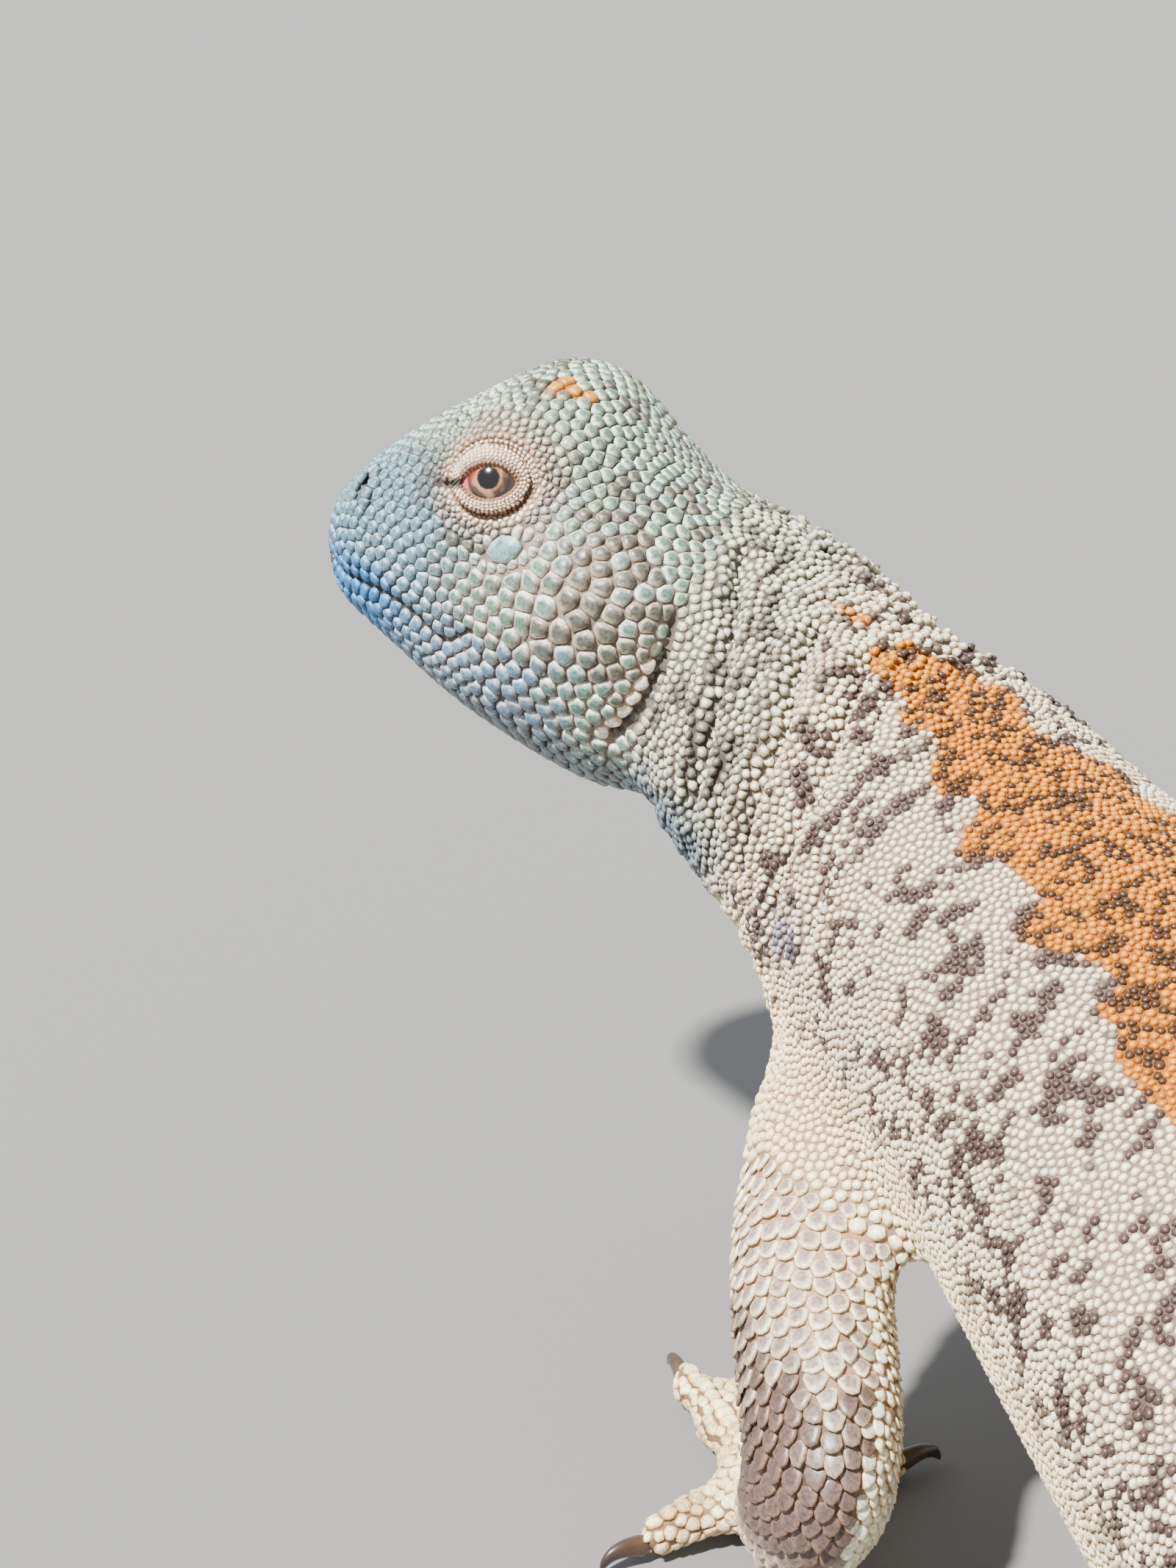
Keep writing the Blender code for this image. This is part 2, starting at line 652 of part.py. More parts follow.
def body_cuts():
    """Place, direction and breadth of each cut through the neck and the tail."""
    back = head_matrix().to_3x3() @ Vector((0, 1, 0))
    cuts = [(on_head(0, HEAD_CUT_BACK, 0), back, BODY_CUT_BREADTH)]
    cuts.append((Vector(NECK_CUT[0]) * MM, Vector(NECK_CUT[1]), BODY_CUT_BREADTH))
    tail = tail_rows()
    for number in TAIL_CUT_WHORLS:
        row, along, _, _ = at_share(tail, tail_cut_share(number))
        cuts.append((Vector(row[:3]), Vector(along), BODY_CUT_BREADTH))
    return cuts


def limb_cuts(limb):
    """Place, direction and breadth of the cuts at a limb's root, at its middle joint and above its foot."""
    line = np.array(limb["line"])[:, :3] * MM
    root_place, root_direction = limb["root_cut"]
    places = (Vector(root_place) * MM, Vector(line[3]), Vector(line[5]))
    directions = (Vector(root_direction), Vector(line[4] - line[2]), Vector(limb["foot_cut"]))
    return [(place, direction, breadth * MM)
            for place, direction, breadth in zip(places, directions, limb["breadths"])]


def cutting_boxes(thickness):
    """The thin slabs that part the animal, the floor, and the boxes that end each digit flat."""
    cuts = body_cuts()
    for limb in LIMBS.values():
        cuts += limb_cuts(limb)
    boxes = [box("slab", place, direction, (thickness, size, size)) for place, direction, size in cuts]
    boxes.append(box("floor", (0, 0, -FLOOR_SIZE[0] / 2), (0, 0, 1), FLOOR_SIZE))
    for limb in LIMBS.values():
        for tip in limb["tips"]:
            start, away = claw_start(limb["palm"], tip)
            size = (2 * TRIM_REACH, TRIM_BREADTH, TRIM_BREADTH)
            boxes.append(box("trim", start + away * TRIM_REACH, away, size))
    return boxes


def bounds(thing):
    places = np.array([thing.matrix_world @ v.co for v in thing.data.vertices])
    return places.min(axis=0), places.max(axis=0)


def cut_clear(thing, thickness):
    """Cut the slabs, floor and trims that reach a piece from it."""
    low, high = bounds(thing)
    near = []
    for cutter in cutting_boxes(thickness):
        cutter_low, cutter_high = bounds(cutter)
        if (cutter_low < high).all() and (low < cutter_high).all():
            near.append(cutter)
        else:
            bpy.data.objects.remove(cutter, do_unlink=True)
    boolean(thing, near, "DIFFERENCE")
    keep_largest(thing)


def piece_places():
    """A point near the middle of each piece that the thin cuts leave."""
    places = {"head": on_head(0, HEAD_LENGTH / 2, 0), "neck": Vector(BODY_SECTIONS[0][:3]) * MM,
              "torso": Vector(BODY_SECTIONS[6][:3]) * MM}
    ends = [tail_cut_share(number) for number in TAIL_CUT_WHORLS] + [1.0]
    tail = tail_rows()
    for i in range(len(TAIL_CUT_WHORLS)):
        row, _, _, _ = at_share(tail, (ends[i] + ends[i + 1]) / 2)
        places[f"tail_{i + 1}"] = Vector(row[:3])
    for side, limb in LIMBS.items():
        line = np.array(limb["line"])[:, :3] * MM
        names = limb["names"]
        places[f"{names[0]}_{side[0]}"] = Vector((line[2] + line[3]) / 2)
        places[f"{names[1]}_{side[0]}"] = Vector(line[4])
        tips = np.mean(np.array(limb["tips"]), axis=0) * MM
        places[f"{names[2]}_{side[0]}"] = Vector((tips[0], tips[1], 2 * MM))
    return places


def part_animal(whole):
    """Part the whole by thin cuts, and name each piece by the place where it lies."""
    boolean(whole, cutting_boxes(GAP / 2), "DIFFERENCE", ("MANIFOLD",))
    work = bmesh.new()
    work.from_mesh(whole.data)
    groups = [g for g in loose_groups(work) if len(g) > SCRAP_POINTS]
    middles = [Vector(np.mean([v.co for v in g], axis=0)) for g in groups]
    pieces = {}
    for name, place in piece_places().items():
        nearest = min(range(len(groups)), key=lambda i: (middles[i] - place).length)
        kept = set(v.index for v in groups[nearest])
        own = work.copy()
        own.verts.ensure_lookup_table()
        bmesh.ops.delete(own, geom=[v for v in own.verts if v.index not in kept], context="VERTS")
        mesh = bpy.data.meshes.new(name)
        own.to_mesh(mesh)
        own.free()
        pieces[name] = bpy.data.objects.new(name, mesh)
        bpy.context.scene.collection.objects.link(pieces[name])
    work.free()
    bpy.data.objects.remove(whole, do_unlink=True)
    print("pieces", len(groups), "named", len(pieces))
    for name, piece in pieces.items():
        thin_out(piece, BUDGET[name.split("_")[0]])
        cut_clear(piece, GAP)
    return pieces


def lens_prism(hand):
    """The opening between the lids: a lens outline from the middle of the eye outwards."""
    half_length, half_height = LID_OPENING
    outline = []
    for turn in np.linspace(0, 2 * math.pi, 16, endpoint=False):
        flat = math.sin(turn) * abs(math.sin(turn)) ** 0.35
        outline.append((half_length * math.cos(turn), half_height * flat))
    place = eye_frame(hand)
    rings = [[np.array(place @ Vector((x, y, out))) for x, y in outline] for out in (0.0, 3 * EYE_RADIUS)]
    return loft("opening", rings)


def mouth_groove(head):
    """A thin tube along the line of the mouth, from one corner round the snout to the other."""
    inside = bmesh.new()
    inside.from_mesh(head.data)
    surface = BVHTree.FromBMesh(inside)
    inside.free()
    line = []
    for turn in np.linspace(-MOUTH_SWEEP, MOUTH_SWEEP, 23):
        share = abs(turn) / MOUTH_SWEEP
        height = MOUTH_FRONT_HEIGHT + (MOUTH_CORNER_HEIGHT - MOUTH_FRONT_HEIGHT) * share ** 2
        middle = on_head(0, MOUTH_MIDDLE_BACK, height)
        outward = head_matrix().to_3x3() @ Vector((math.sin(turn), -math.cos(turn), 0))
        place, _, _, _ = surface.ray_cast(middle, outward)
        line.append(np.array(place))
    rows = np.column_stack([np.array(line), np.full((len(line), 3), MOUTH_GROOVE)])
    return swept("groove", rows, 1.0, 5)


def carve_head(head):
    """Cut the eye sockets, the openings between the lids, the nostrils, the ears and the mouth line."""
    cutters = [mouth_groove(head)]
    turn = head_matrix().to_3x3().to_4x4()
    for hand in (-1, 1):
        socket = EYE_RADIUS + GAP
        cutters.append(ball("socket", eye_frame(hand) @ Matrix.Diagonal((socket, socket, socket, 1)), 8))
        cutters.append(lens_prism(hand))
        nostril = Matrix.Translation(on_head(hand * NOSTRIL_SIDE, NOSTRIL_BACK, NOSTRIL_HEIGHT))
        cutters.append(ball("nostril", nostril @ turn @ Matrix.Diagonal((*NOSTRIL_SIZE, 1)), 4))
        ear = Matrix.Translation(on_head(hand * EAR_SIDE, EAR_BACK, EAR_HEIGHT)) @ turn
        ear = ear @ Matrix.Rotation(EAR_LEAN, 4, "X") @ Matrix.Diagonal((*EAR_SIZE, 1))
        cutters.append(ball("ear", ear, 5))
    boolean(head, cutters, "DIFFERENCE")
    keep_largest(head)


def make_spine(place, along, outward, length, width, lean):
    """A tapered keel that leans back from the surface, with its root sunk in."""
    point = along * math.cos(lean) + outward * math.sin(lean)
    across = np.cross(outward, along)
    over = np.cross(point, across)
    if over @ outward < 0:
        over = -over
    start = place - outward * SPINE_ROOT - point * 0.15 * length
    rings = []
    for share, breadth, height in SPINE_RINGS:
        middle = start + point * (length + SPINE_ROOT) * share
        half, tall = width / 2 * breadth, SPINE_HEIGHT_SHARE * width / 2 * height
        rings.append([middle + across * half, middle + over * tall, middle - across * half, middle - over * tall])
    tip = place + point * length
    tip[2] = max(tip[2], GAP)
    points = rings[0] + rings[1] + [tip]
    faces = [(0, 1, 2, 3)]
    for j in range(4):
        k = (j + 1) % 4
        faces.append((j, k, 4 + k, 4 + j))
        faces.append((4 + j, 4 + k, 8))
    return mesh_object("spine", points, faces)


def make_whorl(number, draw):
    """One ring of spines over the back and sides of the tail."""
    gap = (whorl_share(number + 1) - whorl_share(number)) * TAIL_LENGTH
    row, along, left, up = at_share(tail_rows(), whorl_share(number))
    flat = section(240, row[3], row[4], row[5], BODY_FULLNESS)
    turn = np.linspace(0, 2 * math.pi, 240, endpoint=False) - math.pi / 2
    turn = (turn + math.pi) % (2 * math.pi) - math.pi
    order = np.argsort(turn)
    order = order[np.abs(turn[order]) <= SPINE_ARC]
    curve = flat[order]
    run = np.concatenate([[0], np.cumsum(np.linalg.norm(np.diff(curve, axis=0), axis=1))])
    count = max(5, round(run[-1] / SPINE_SPACING))
    width = run[-1] / count * SPINE_CROWDING
    cut_next = number + 1 in TAIL_CUT_WHORLS
    spines = []
    for i in range(count):
        spot = run[-1] * (i + 0.5) / count
        x, z = np.interp(spot, run, curve[:, 0]), np.interp(spot, run, curve[:, 1])
        ahead = np.interp(spot + MM, run, curve[:, 0]), np.interp(spot + MM, run, curve[:, 1])
        behind = np.interp(spot - MM, run, curve[:, 0]), np.interp(spot - MM, run, curve[:, 1])
        slope = np.subtract(ahead, behind)
        normal = np.array([-slope[1], slope[0]])
        normal *= np.sign(normal @ (x, z)) / np.linalg.norm(normal)
        outward = normal[0] * left + normal[1] * up
        length = gap * SPINE_LENGTH_SHARE * (1 + SPINE_SIDE_GAIN * abs(normal[0])) * draw.uniform(0.92, 1.06)
        if cut_next:
            length = gap * SPINE_LENGTH_BY_CUT
        lean = SPINE_LEAN + math.radians(draw.uniform(-3, 3))
        place = row[:3] + x * left + z * up
        spines.append(make_spine(place, along, outward, length, width, lean))
    return spines


def dress_tail(pieces):
    """Fuse the whorls of spines to the lengths of the tail."""
    draw = random.Random(SEED)
    starts = list(TAIL_CUT_WHORLS) + [WHORLS]
    for i in range(len(TAIL_CUT_WHORLS)):
        spines = []
        for number in range(starts[i], starts[i + 1]):
            spines += make_whorl(number, draw)
        piece = pieces[f"tail_{i + 1}"]
        boolean(piece, spines, "UNION")
        keep_largest(piece)


def finish(thing, finish_name, root):
    thing.data.materials.clear()
    thing.data.materials.append(material(finish_name))
    thing.data.shade_smooth()
    thing.data.set_sharp_from_angle(angle=math.radians(50))
    thing.parent = root


def main():
    clear_scene()
    pieces = part_animal(whole_animal())
    carve_head(pieces["head"])
    dress_tail(pieces)
    for name, hand in (("eye_right", -1), ("eye_left", 1)):
        pieces[name] = ball(name, eye_frame(hand) @ Matrix.Diagonal((EYE_RADIUS, EYE_RADIUS, EYE_RADIUS, 1)), 7)
    for side, limb in LIMBS.items():
        for i, tip in enumerate(limb["tips"]):
            name = f"claw_{limb['names'][2]}_{side[0]}_{i + 1}"
            pieces[name] = make_claw(name, limb["palm"], tip)
    places = np.array([bounds(piece) for piece in pieces.values()])
    low, high = places[:, 0].min(axis=0), places[:, 1].max(axis=0)
    root = bpy.data.objects.new("uromastyx", None)
    bpy.context.scene.collection.objects.link(root)
    root.location = (-(low[0] + high[0]) / 2, -(low[1] + high[1]) / 2, -low[2])
    for name, piece in pieces.items():
        piece.name = name
        finish(piece, FINISHES[name.split("_")[0]], root)
    counts = {name: sum(len(p.vertices) - 2 for p in piece.data.polygons) for name, piece in pieces.items()}
    print("triangles", sum(counts.values()), counts)


main()
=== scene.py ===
# Ornate spiny-tailed lizard at life size: one skin over the solids, then scales, eyes, claws and tail spines.
# Shapes are worked out in millimetres from the middle of the chest, and put in the frame's metres at the end.
import math

import bmesh
import bpy
import numpy as np
from mathutils import Matrix, Vector
from mathutils.bvhtree import BVHTree
from mathutils.kdtree import KDTree


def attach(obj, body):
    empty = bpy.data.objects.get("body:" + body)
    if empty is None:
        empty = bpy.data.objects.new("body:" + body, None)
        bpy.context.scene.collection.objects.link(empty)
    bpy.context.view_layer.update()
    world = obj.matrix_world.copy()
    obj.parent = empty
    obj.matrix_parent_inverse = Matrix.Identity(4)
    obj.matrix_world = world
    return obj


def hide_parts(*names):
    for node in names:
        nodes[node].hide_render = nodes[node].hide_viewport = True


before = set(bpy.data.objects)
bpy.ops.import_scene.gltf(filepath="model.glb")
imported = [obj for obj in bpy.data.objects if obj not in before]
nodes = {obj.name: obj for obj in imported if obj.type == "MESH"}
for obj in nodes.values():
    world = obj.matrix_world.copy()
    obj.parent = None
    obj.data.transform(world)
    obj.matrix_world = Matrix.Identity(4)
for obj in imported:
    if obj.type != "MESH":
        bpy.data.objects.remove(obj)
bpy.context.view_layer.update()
mm = 0.001
photoHeight = 2133          # pixels

head = {
    "place": (4.2, -30.1, 57.2), "turn": 40.5, "lift": 16.6, "tilt": -3.9, "length": 34.5,
    "eyeSide": 9.3, "eyeBack": 15.7, "eyeHeight": 9.0, "eyeRadius": 3.2, "eyeAxis": (0.955, 0.10, 0.28),
    "lidSlant": 22,
}
headTurn = np.array(Matrix.Rotation(math.radians(head["turn"]), 3, "Z")
                    @ Matrix.Rotation(math.radians(-head["lift"]), 3, "X")
                    @ Matrix.Rotation(math.radians(head["tilt"]), 3, "Y"))


def onHead(side, back, height):
    return np.array(head["place"]) + headTurn @ np.array([side, back - head["length"], height])


def headPlaces(points):     # to the left, behind the snout tip, and up, for each point
    return (points - np.array(head["place"])) @ headTurn + (0, head["length"], 0)


def unit(rows):
    return rows / np.maximum(np.linalg.norm(rows, axis=-1, keepdims=True), 1e-12)


def eyeFrame(hand):         # columns: along the lids to the snout, up across them, and out of the head
    axis = unit(headTurn @ np.array([hand * head["eyeAxis"][0], *head["eyeAxis"][1:]]))
    slant = math.radians(head["lidSlant"])
    forward = headTurn @ np.array([0, -math.cos(slant), -math.sin(slant)])
    along = unit(forward - axis * (forward @ axis))
    return onHead(hand * head["eyeSide"], head["eyeBack"], head["eyeHeight"]), np.stack(
        [along, hand * np.cross(along, axis), axis], 1)


def nodePoints(name):
    return np.array([v.co for v in nodes[name].data.vertices]) / mm


# The chest's middle in the frame, from where the left eye sits
chest = np.unique(nodePoints("eye_left").round(3), axis=0).mean(axis=0) - eyeFrame(1)[0]
print("chest at", chest.round(2))


def inFrame(points):        # millimetres from the chest to the frame's metres
    return (np.asarray(points, float) + chest) * mm


def newObject(name, data):
    made = bpy.data.objects.new(name, data)
    bpy.context.scene.collection.objects.link(made)
    return made


def loftFaces(rings, around, first=0):
    faces = []
    for i in range(rings - 1):
        for j in range(around):
            k = (j + 1) % around
            faces.append((first + i * around + j, first + i * around + k,
                          first + (i + 1) * around + k, first + (i + 1) * around + j))
    return faces


def halved(quads):
    return [corners for a, b, c, d in quads for corners in ((a, b, c), (a, c, d))]


# Camera: the photo's own view, three quarters from behind on the animal's left
camera = {"place": (112.561, 132.911, 123.381), "azimuth": 149.346, "elevation": 21.779, "roll": 0.3,
          "focalPixels": 3422.9, "sensor": 36}


def makeCamera():
    azimuth, elevation = math.radians(camera["azimuth"]), math.radians(camera["elevation"])
    back = Vector((math.sin(azimuth) * math.cos(elevation), -math.cos(azimuth) * math.cos(elevation),
                   math.sin(elevation)))
    right = (-back).cross(Vector((0, 0, 1))).normalized()
    turn = Matrix((right, back.cross(right), back)).transposed()
    turn = Matrix.Rotation(math.radians(camera["roll"]), 3, back) @ turn
    data = bpy.data.cameras.new("photoView")
    data.lens = camera["sensor"] * camera["focalPixels"] / photoHeight
    data.sensor_width = camera["sensor"]
    data.clip_start = 0.001
    made = newObject("photoView", data)
    made.matrix_world = Matrix.Translation(inFrame(camera["place"])) @ turn.to_4x4()
    bpy.context.scene.camera = made


makeCamera()


# The tail's core, repeated from the solids, which carry the spines fused to it
tail = {
    "rootY": 112.0, "length": 142.0, "steps": 80, "riseShare": 0.56, "depthShare": 0.52, "swing": 24,
    "widths": ((0.0, 15.4), (0.12, 14.2), (0.35, 12.8), (0.6, 10.0), (0.8, 7.0), (0.93, 4.8), (1.0, 3.0)),
    "sink": ((0.0, 1.5), (0.25, 1.0), (0.6, 0.45)), "fullness": 0.9, "around": 48,
}


def smoothRows(rows, steps):
    rows = np.asarray(rows, float)
    padded = np.vstack([2 * rows[0] - rows[1], rows, 2 * rows[-1] - rows[-2]])
    result = []
    for i in range(len(rows) - 1):
        before, start, end, after = padded[i:i + 4]
        for t in np.linspace(0, 1, steps, endpoint=False):
            result.append(0.5 * (2 * start + (end - before) * t
                                 + (2 * before - 5 * start + 4 * end - after) * t ** 2
                                 + (3 * start - before - 3 * end + after) * t ** 3))
    result.append(rows[-1])
    return np.array(result)


def tailRows():             # x, y, z, half width, rise, depth
    shares = np.linspace(0, 1, tail["steps"] + 1)
    keys = smoothRows(tail["widths"], 8)
    widths = np.interp(shares, keys[:, 0], keys[:, 1])
    heading = math.radians(tail["swing"]) * np.sin(shares * math.pi * 0.9) ** 1.2
    step = tail["length"] / tail["steps"]
    x, y = -np.cumsum(np.sin(heading)) * step, np.cumsum(np.cos(heading)) * step
    rise, depth = widths * tail["riseShare"], widths * tail["depthShare"]
    sink = np.interp(shares, *zip(*tail["sink"]))
    return np.column_stack([x - x[0], tail["rootY"] + y - y[0], depth - sink, widths, rise, depth])


def crossSection(count, halfWidth, rise, depth, fullness):
    turn = np.linspace(0, 2 * math.pi, count, endpoint=False)
    across = halfWidth * np.sign(np.cos(turn)) * np.abs(np.cos(turn)) ** fullness
    height = np.sign(np.sin(turn)) * np.abs(np.sin(turn)) ** fullness
    return np.stack([across, np.where(height > 0, rise, depth) * height], 1)


def sideways(line):         # direction, left and upward side at each point of a line
    along = unit(np.gradient(line, axis=0))
    left = unit(np.cross(along, (0, 0, 1)))
    return along, left, np.cross(left, along)


def makeTailCore():
    rows, around = tailRows()[2:], tail["around"]
    _, left, up = sideways(rows[:, :3])
    rings = []
    for row, side, top in zip(rows, left, up):
        flat = crossSection(around, *row[3:], tail["fullness"])
        rings.append(row[:3] + flat[:, :1] * side + flat[:, 1:] * top)
    faces = loftFaces(len(rings), around)
    points = np.vstack(rings)
    for first, ring in ((0, rings[0]), ((len(rings) - 1) * around, rings[-1])):
        points = np.vstack([points, ring.mean(axis=0)])
        faces += [(first + j, first + (j + 1) % around, len(points) - 1) for j in range(around)]
    return points, faces


# The skin: the solids' flesh melted together, a little inside them, so that the scales reach their surface
skin = {"grain": 0.85, "overlap": 0.28, "inset": 0.42, "softBody": 14, "softHead": 3,
        "eyeReach": (11.0, 6.5), "fillerReach": 0.5}
limbParts = {"front": ("upper_arm", "forearm", "hand"), "hind": ("thigh", "shin", "foot")}
fleshNames = ["head", "neck", "torso"] + [f"{part}_{side}" for side in ("left", "right")
                                          for part in limbParts["front"] + limbParts["hind"]]
tailNames = [f"tail_{i}" for i in range(1, 5)]


def bmeshOf(points, faces):
    work = bmesh.new()
    verts = [work.verts.new(p) for p in points]
    for face in faces:
        work.faces.new([verts[i] for i in face])
    bmesh.ops.recalc_face_normals(work, faces=work.faces)
    return work


def addTo(joined, work, grow):
    work.normal_update()
    for vert in work.verts:
        vert.co = vert.co + vert.normal * grow
    mesh = bpy.data.meshes.new("part")
    work.to_mesh(mesh)
    joined.from_mesh(mesh)
    bpy.data.meshes.remove(mesh)
    work.free()


def makeSkin():
    joined = bmesh.new()
    for name in fleshNames:
        work = bmesh.new()
        work.from_mesh(nodes[name].data)
        bmesh.ops.remove_doubles(work, verts=work.verts, dist=1e-6)
        for vert in work.verts:
            vert.co = Vector(np.array(vert.co) / mm - chest)
        addTo(joined, work, skin["overlap"])
    addTo(joined, bmeshOf(*makeTailCore()), skin["overlap"])
    for hand in (-1, 1):
        work = bmesh.new()
        centre, _ = eyeFrame(hand)
        bmesh.ops.create_icosphere(work, subdivisions=4, radius=head["eyeRadius"] + skin["fillerReach"],
                                   matrix=Matrix.Translation(centre))
        addTo(joined, work, 0)
    mesh = bpy.data.meshes.new("skin")
    joined.to_mesh(mesh)
    joined.free()
    made = newObject("skin", mesh)
    melt = made.modifiers.new("melt", "REMESH")
    melt.mode = "VOXEL"
    melt.voxel_size = skin["grain"]
    made.data = bpy.data.meshes.new_from_object(made.evaluated_get(bpy.context.evaluated_depsgraph_get()))
    made.modifiers.clear()
    keepLargest(made)
    return made


def keepLargest(made):
    work = bmesh.new()
    work.from_mesh(made.data)
    work.verts.ensure_lookup_table()
    seen = np.zeros(len(work.verts), int)
    mark, best = 0, (0, 0)
    for start in work.verts:
        if seen[start.index]:
            continue
        mark += 1
        seen[start.index] = mark
        count, front = 0, [start]
        while front:
            vert = front.pop()
            count += 1
            for edge in vert.link_edges:
                other = edge.other_vert(vert)
                if not seen[other.index]:
                    seen[other.index] = mark
                    front.append(other)
        best = max(best, (count, mark))
    bmesh.ops.delete(work, geom=[v for v in work.verts if seen[v.index] != best[1]], context="VERTS")
    work.to_mesh(made.data)
    work.free()


skinObject = makeSkin()
print("skin melted,", len(skinObject.data.vertices), "points")


def refineNearEyes(made):   # halves the edges near each eye, once and then once more closer in
    for reach in skin["eyeReach"]:
        work = bmesh.new()
        work.from_mesh(made.data)
        centres = [Vector(eyeFrame(hand)[0]) for hand in (-1, 1)]
        near = [e for e in work.edges
                if min(((e.verts[0].co + e.verts[1].co) / 2 - c).length for c in centres) < reach]
        bmesh.ops.subdivide_edges(work, edges=near, cuts=1, use_grid_fill=True)
        bmesh.ops.triangulate(work, faces=[f for f in work.faces if len(f.verts) > 4])
        work.to_mesh(made.data)
        work.free()


def trianglesOf(mesh):
    mesh.calc_loop_triangles()
    found = np.empty(len(mesh.loop_triangles) * 3, int)
    mesh.loop_triangles.foreach_get("vertices", found)
    return found.reshape(-1, 3)


class Surface:              # a triangle mesh as arrays, with what the scales ask of it
    def __init__(self, points, triangles):
        self.points, self.triangles = points, triangles
        sides = np.vstack([triangles[:, [0, 1]], triangles[:, [1, 2]], triangles[:, [2, 0]]])
        self.sides = np.unique(np.sort(sides, axis=1), axis=0)
        self.degree = np.bincount(self.sides.ravel(), minlength=len(points)).astype(float)
        self.update()

    def update(self):
        corners = self.points[self.triangles]
        cross = np.cross(corners[:, 1] - corners[:, 0], corners[:, 2] - corners[:, 0])
        self.areas = np.linalg.norm(cross, axis=1) / 2
        normals = np.zeros_like(self.points)
        for i in range(3):
            for axis in range(3):
                normals[:, axis] += np.bincount(self.triangles[:, i], cross[:, axis], len(self.points))
        self.normals = unit(normals)

    def blur(self, values, rounds, share=0.5):      # share may be a number or one number per point
        flat = values.reshape(len(values), -1).astype(float)
        share = np.reshape(share, (-1, 1)) if np.ndim(share) else share
        one, two = self.sides[:, 0], self.sides[:, 1]
        for _ in range(rounds):
            total = np.stack([np.bincount(one, column[two], len(flat))
                              + np.bincount(two, column[one], len(flat)) for column in flat.T], 1)
            flat = flat + share * (total / self.degree[:, None] - flat)
        return flat.reshape(values.shape)

    def tree(self):
        return BVHTree.FromPolygons(self.points.tolist(), self.triangles.tolist())


def soften(surface):        # the trunk more than the head and the toes, which keep their shape
    back = headPlaces(surface.points)[:, 1]
    headShare = np.clip((42 - back) / 10, 0, 1)
    footShare = np.clip((9 - surface.points[:, 2]) / 4, 0, 1) * (surface.points[:, 1] < 112)
    keep = np.maximum(headShare, footShare)
    surface.points = surface.blur(surface.points, skin["softHead"])
    surface.points = surface.blur(surface.points, skin["softBody"], 0.5 * (1 - keep))
    surface.update()
    surface.points = surface.points - surface.normals * (skin["inset"] + skin["overlap"])
    surface.update()


refineNearEyes(skinObject)
places = np.array([v.co for v in skinObject.data.vertices])
body = Surface(places, trianglesOf(skinObject.data))
soften(body)
print("skin softened,", len(body.points), "points,", len(body.triangles), "triangles")

# Which solid each point of the skin belongs to
fleshAndTail = fleshNames + tailNames


def nearestNodes(points):
    corners, faces, owner = [], [], []
    for number, name in enumerate(fleshAndTail):
        own = nodePoints(name) - chest
        shape = trianglesOf(nodes[name].data)
        faces.append(shape + sum(len(c) for c in corners))
        corners.append(own)
        owner += [number] * len(shape)
    tree = BVHTree.FromPolygons(np.vstack(corners).tolist(), np.vstack(faces).tolist())
    return np.array([owner[tree.find_nearest(p)[2]] for p in points.tolist()])


bodyNode = nearestNodes(body.points)


def within(*parts):         # the points of the skin whose solid's name starts so
    chosen = [i for i, name in enumerate(fleshAndTail) if name.startswith(parts)]
    return np.isin(bodyNode, chosen)


def onLimb(side, end):      # the points of a limb above its foot, and those of the foot
    *upper, foot = [f"{part}_{side}" for part in limbParts[end]]
    return within(*upper), within(foot)


skinTree = body.tree()


# Markings: soft random fields in space, the same for the skin and for every scale
class Cloud:
    def __init__(self, seed, size, stretch=(1, 1, 1)):
        self.table = np.random.default_rng(seed).random((32, 32, 32))
        self.size = np.array(stretch, float) * size

    def __call__(self, points):     # 0 to 1, smooth from cell to cell
        grid = points / self.size + 100.0
        low = np.floor(grid).astype(int)
        part = grid - low
        part = part * part * (3 - 2 * part)
        total = np.zeros(len(points))
        for corner in np.ndindex(2, 2, 2):
            weight = np.prod(np.where(corner, part, 1 - part), axis=1)
            total += weight * self.table[tuple(((low + corner) % 32).T)]
        return total


def ramp(values, start, end):
    share = np.clip((values - start) / (end - start), 0, 1)
    return share * share * (3 - 2 * share)


# The soft view transform pales what the strong sun lights, so paint is deeper and stronger than it shows
paintMix = {"low": 0.20, "lowPower": 0.83, "high": 0.88, "highPower": 3.5, "vivid": 1.19,
            "grey": (0.3, 0.5, 0.2)}


def tone(red, green, blue):     # the paint for a colour as the render is to show it, 0 to 255
    shown = np.array([red, green, blue]) / 255
    linear = np.where(shown > 0.04045, ((shown + 0.055) / 1.055) ** 2.4, shown / 12.92)
    grey = linear @ paintMix["grey"]
    vivid = np.maximum(grey + (linear - grey) * paintMix["vivid"], 0.0005)
    return np.minimum(paintMix["low"] * vivid ** paintMix["lowPower"]
                      + paintMix["high"] * vivid ** paintMix["highPower"], 0.95)


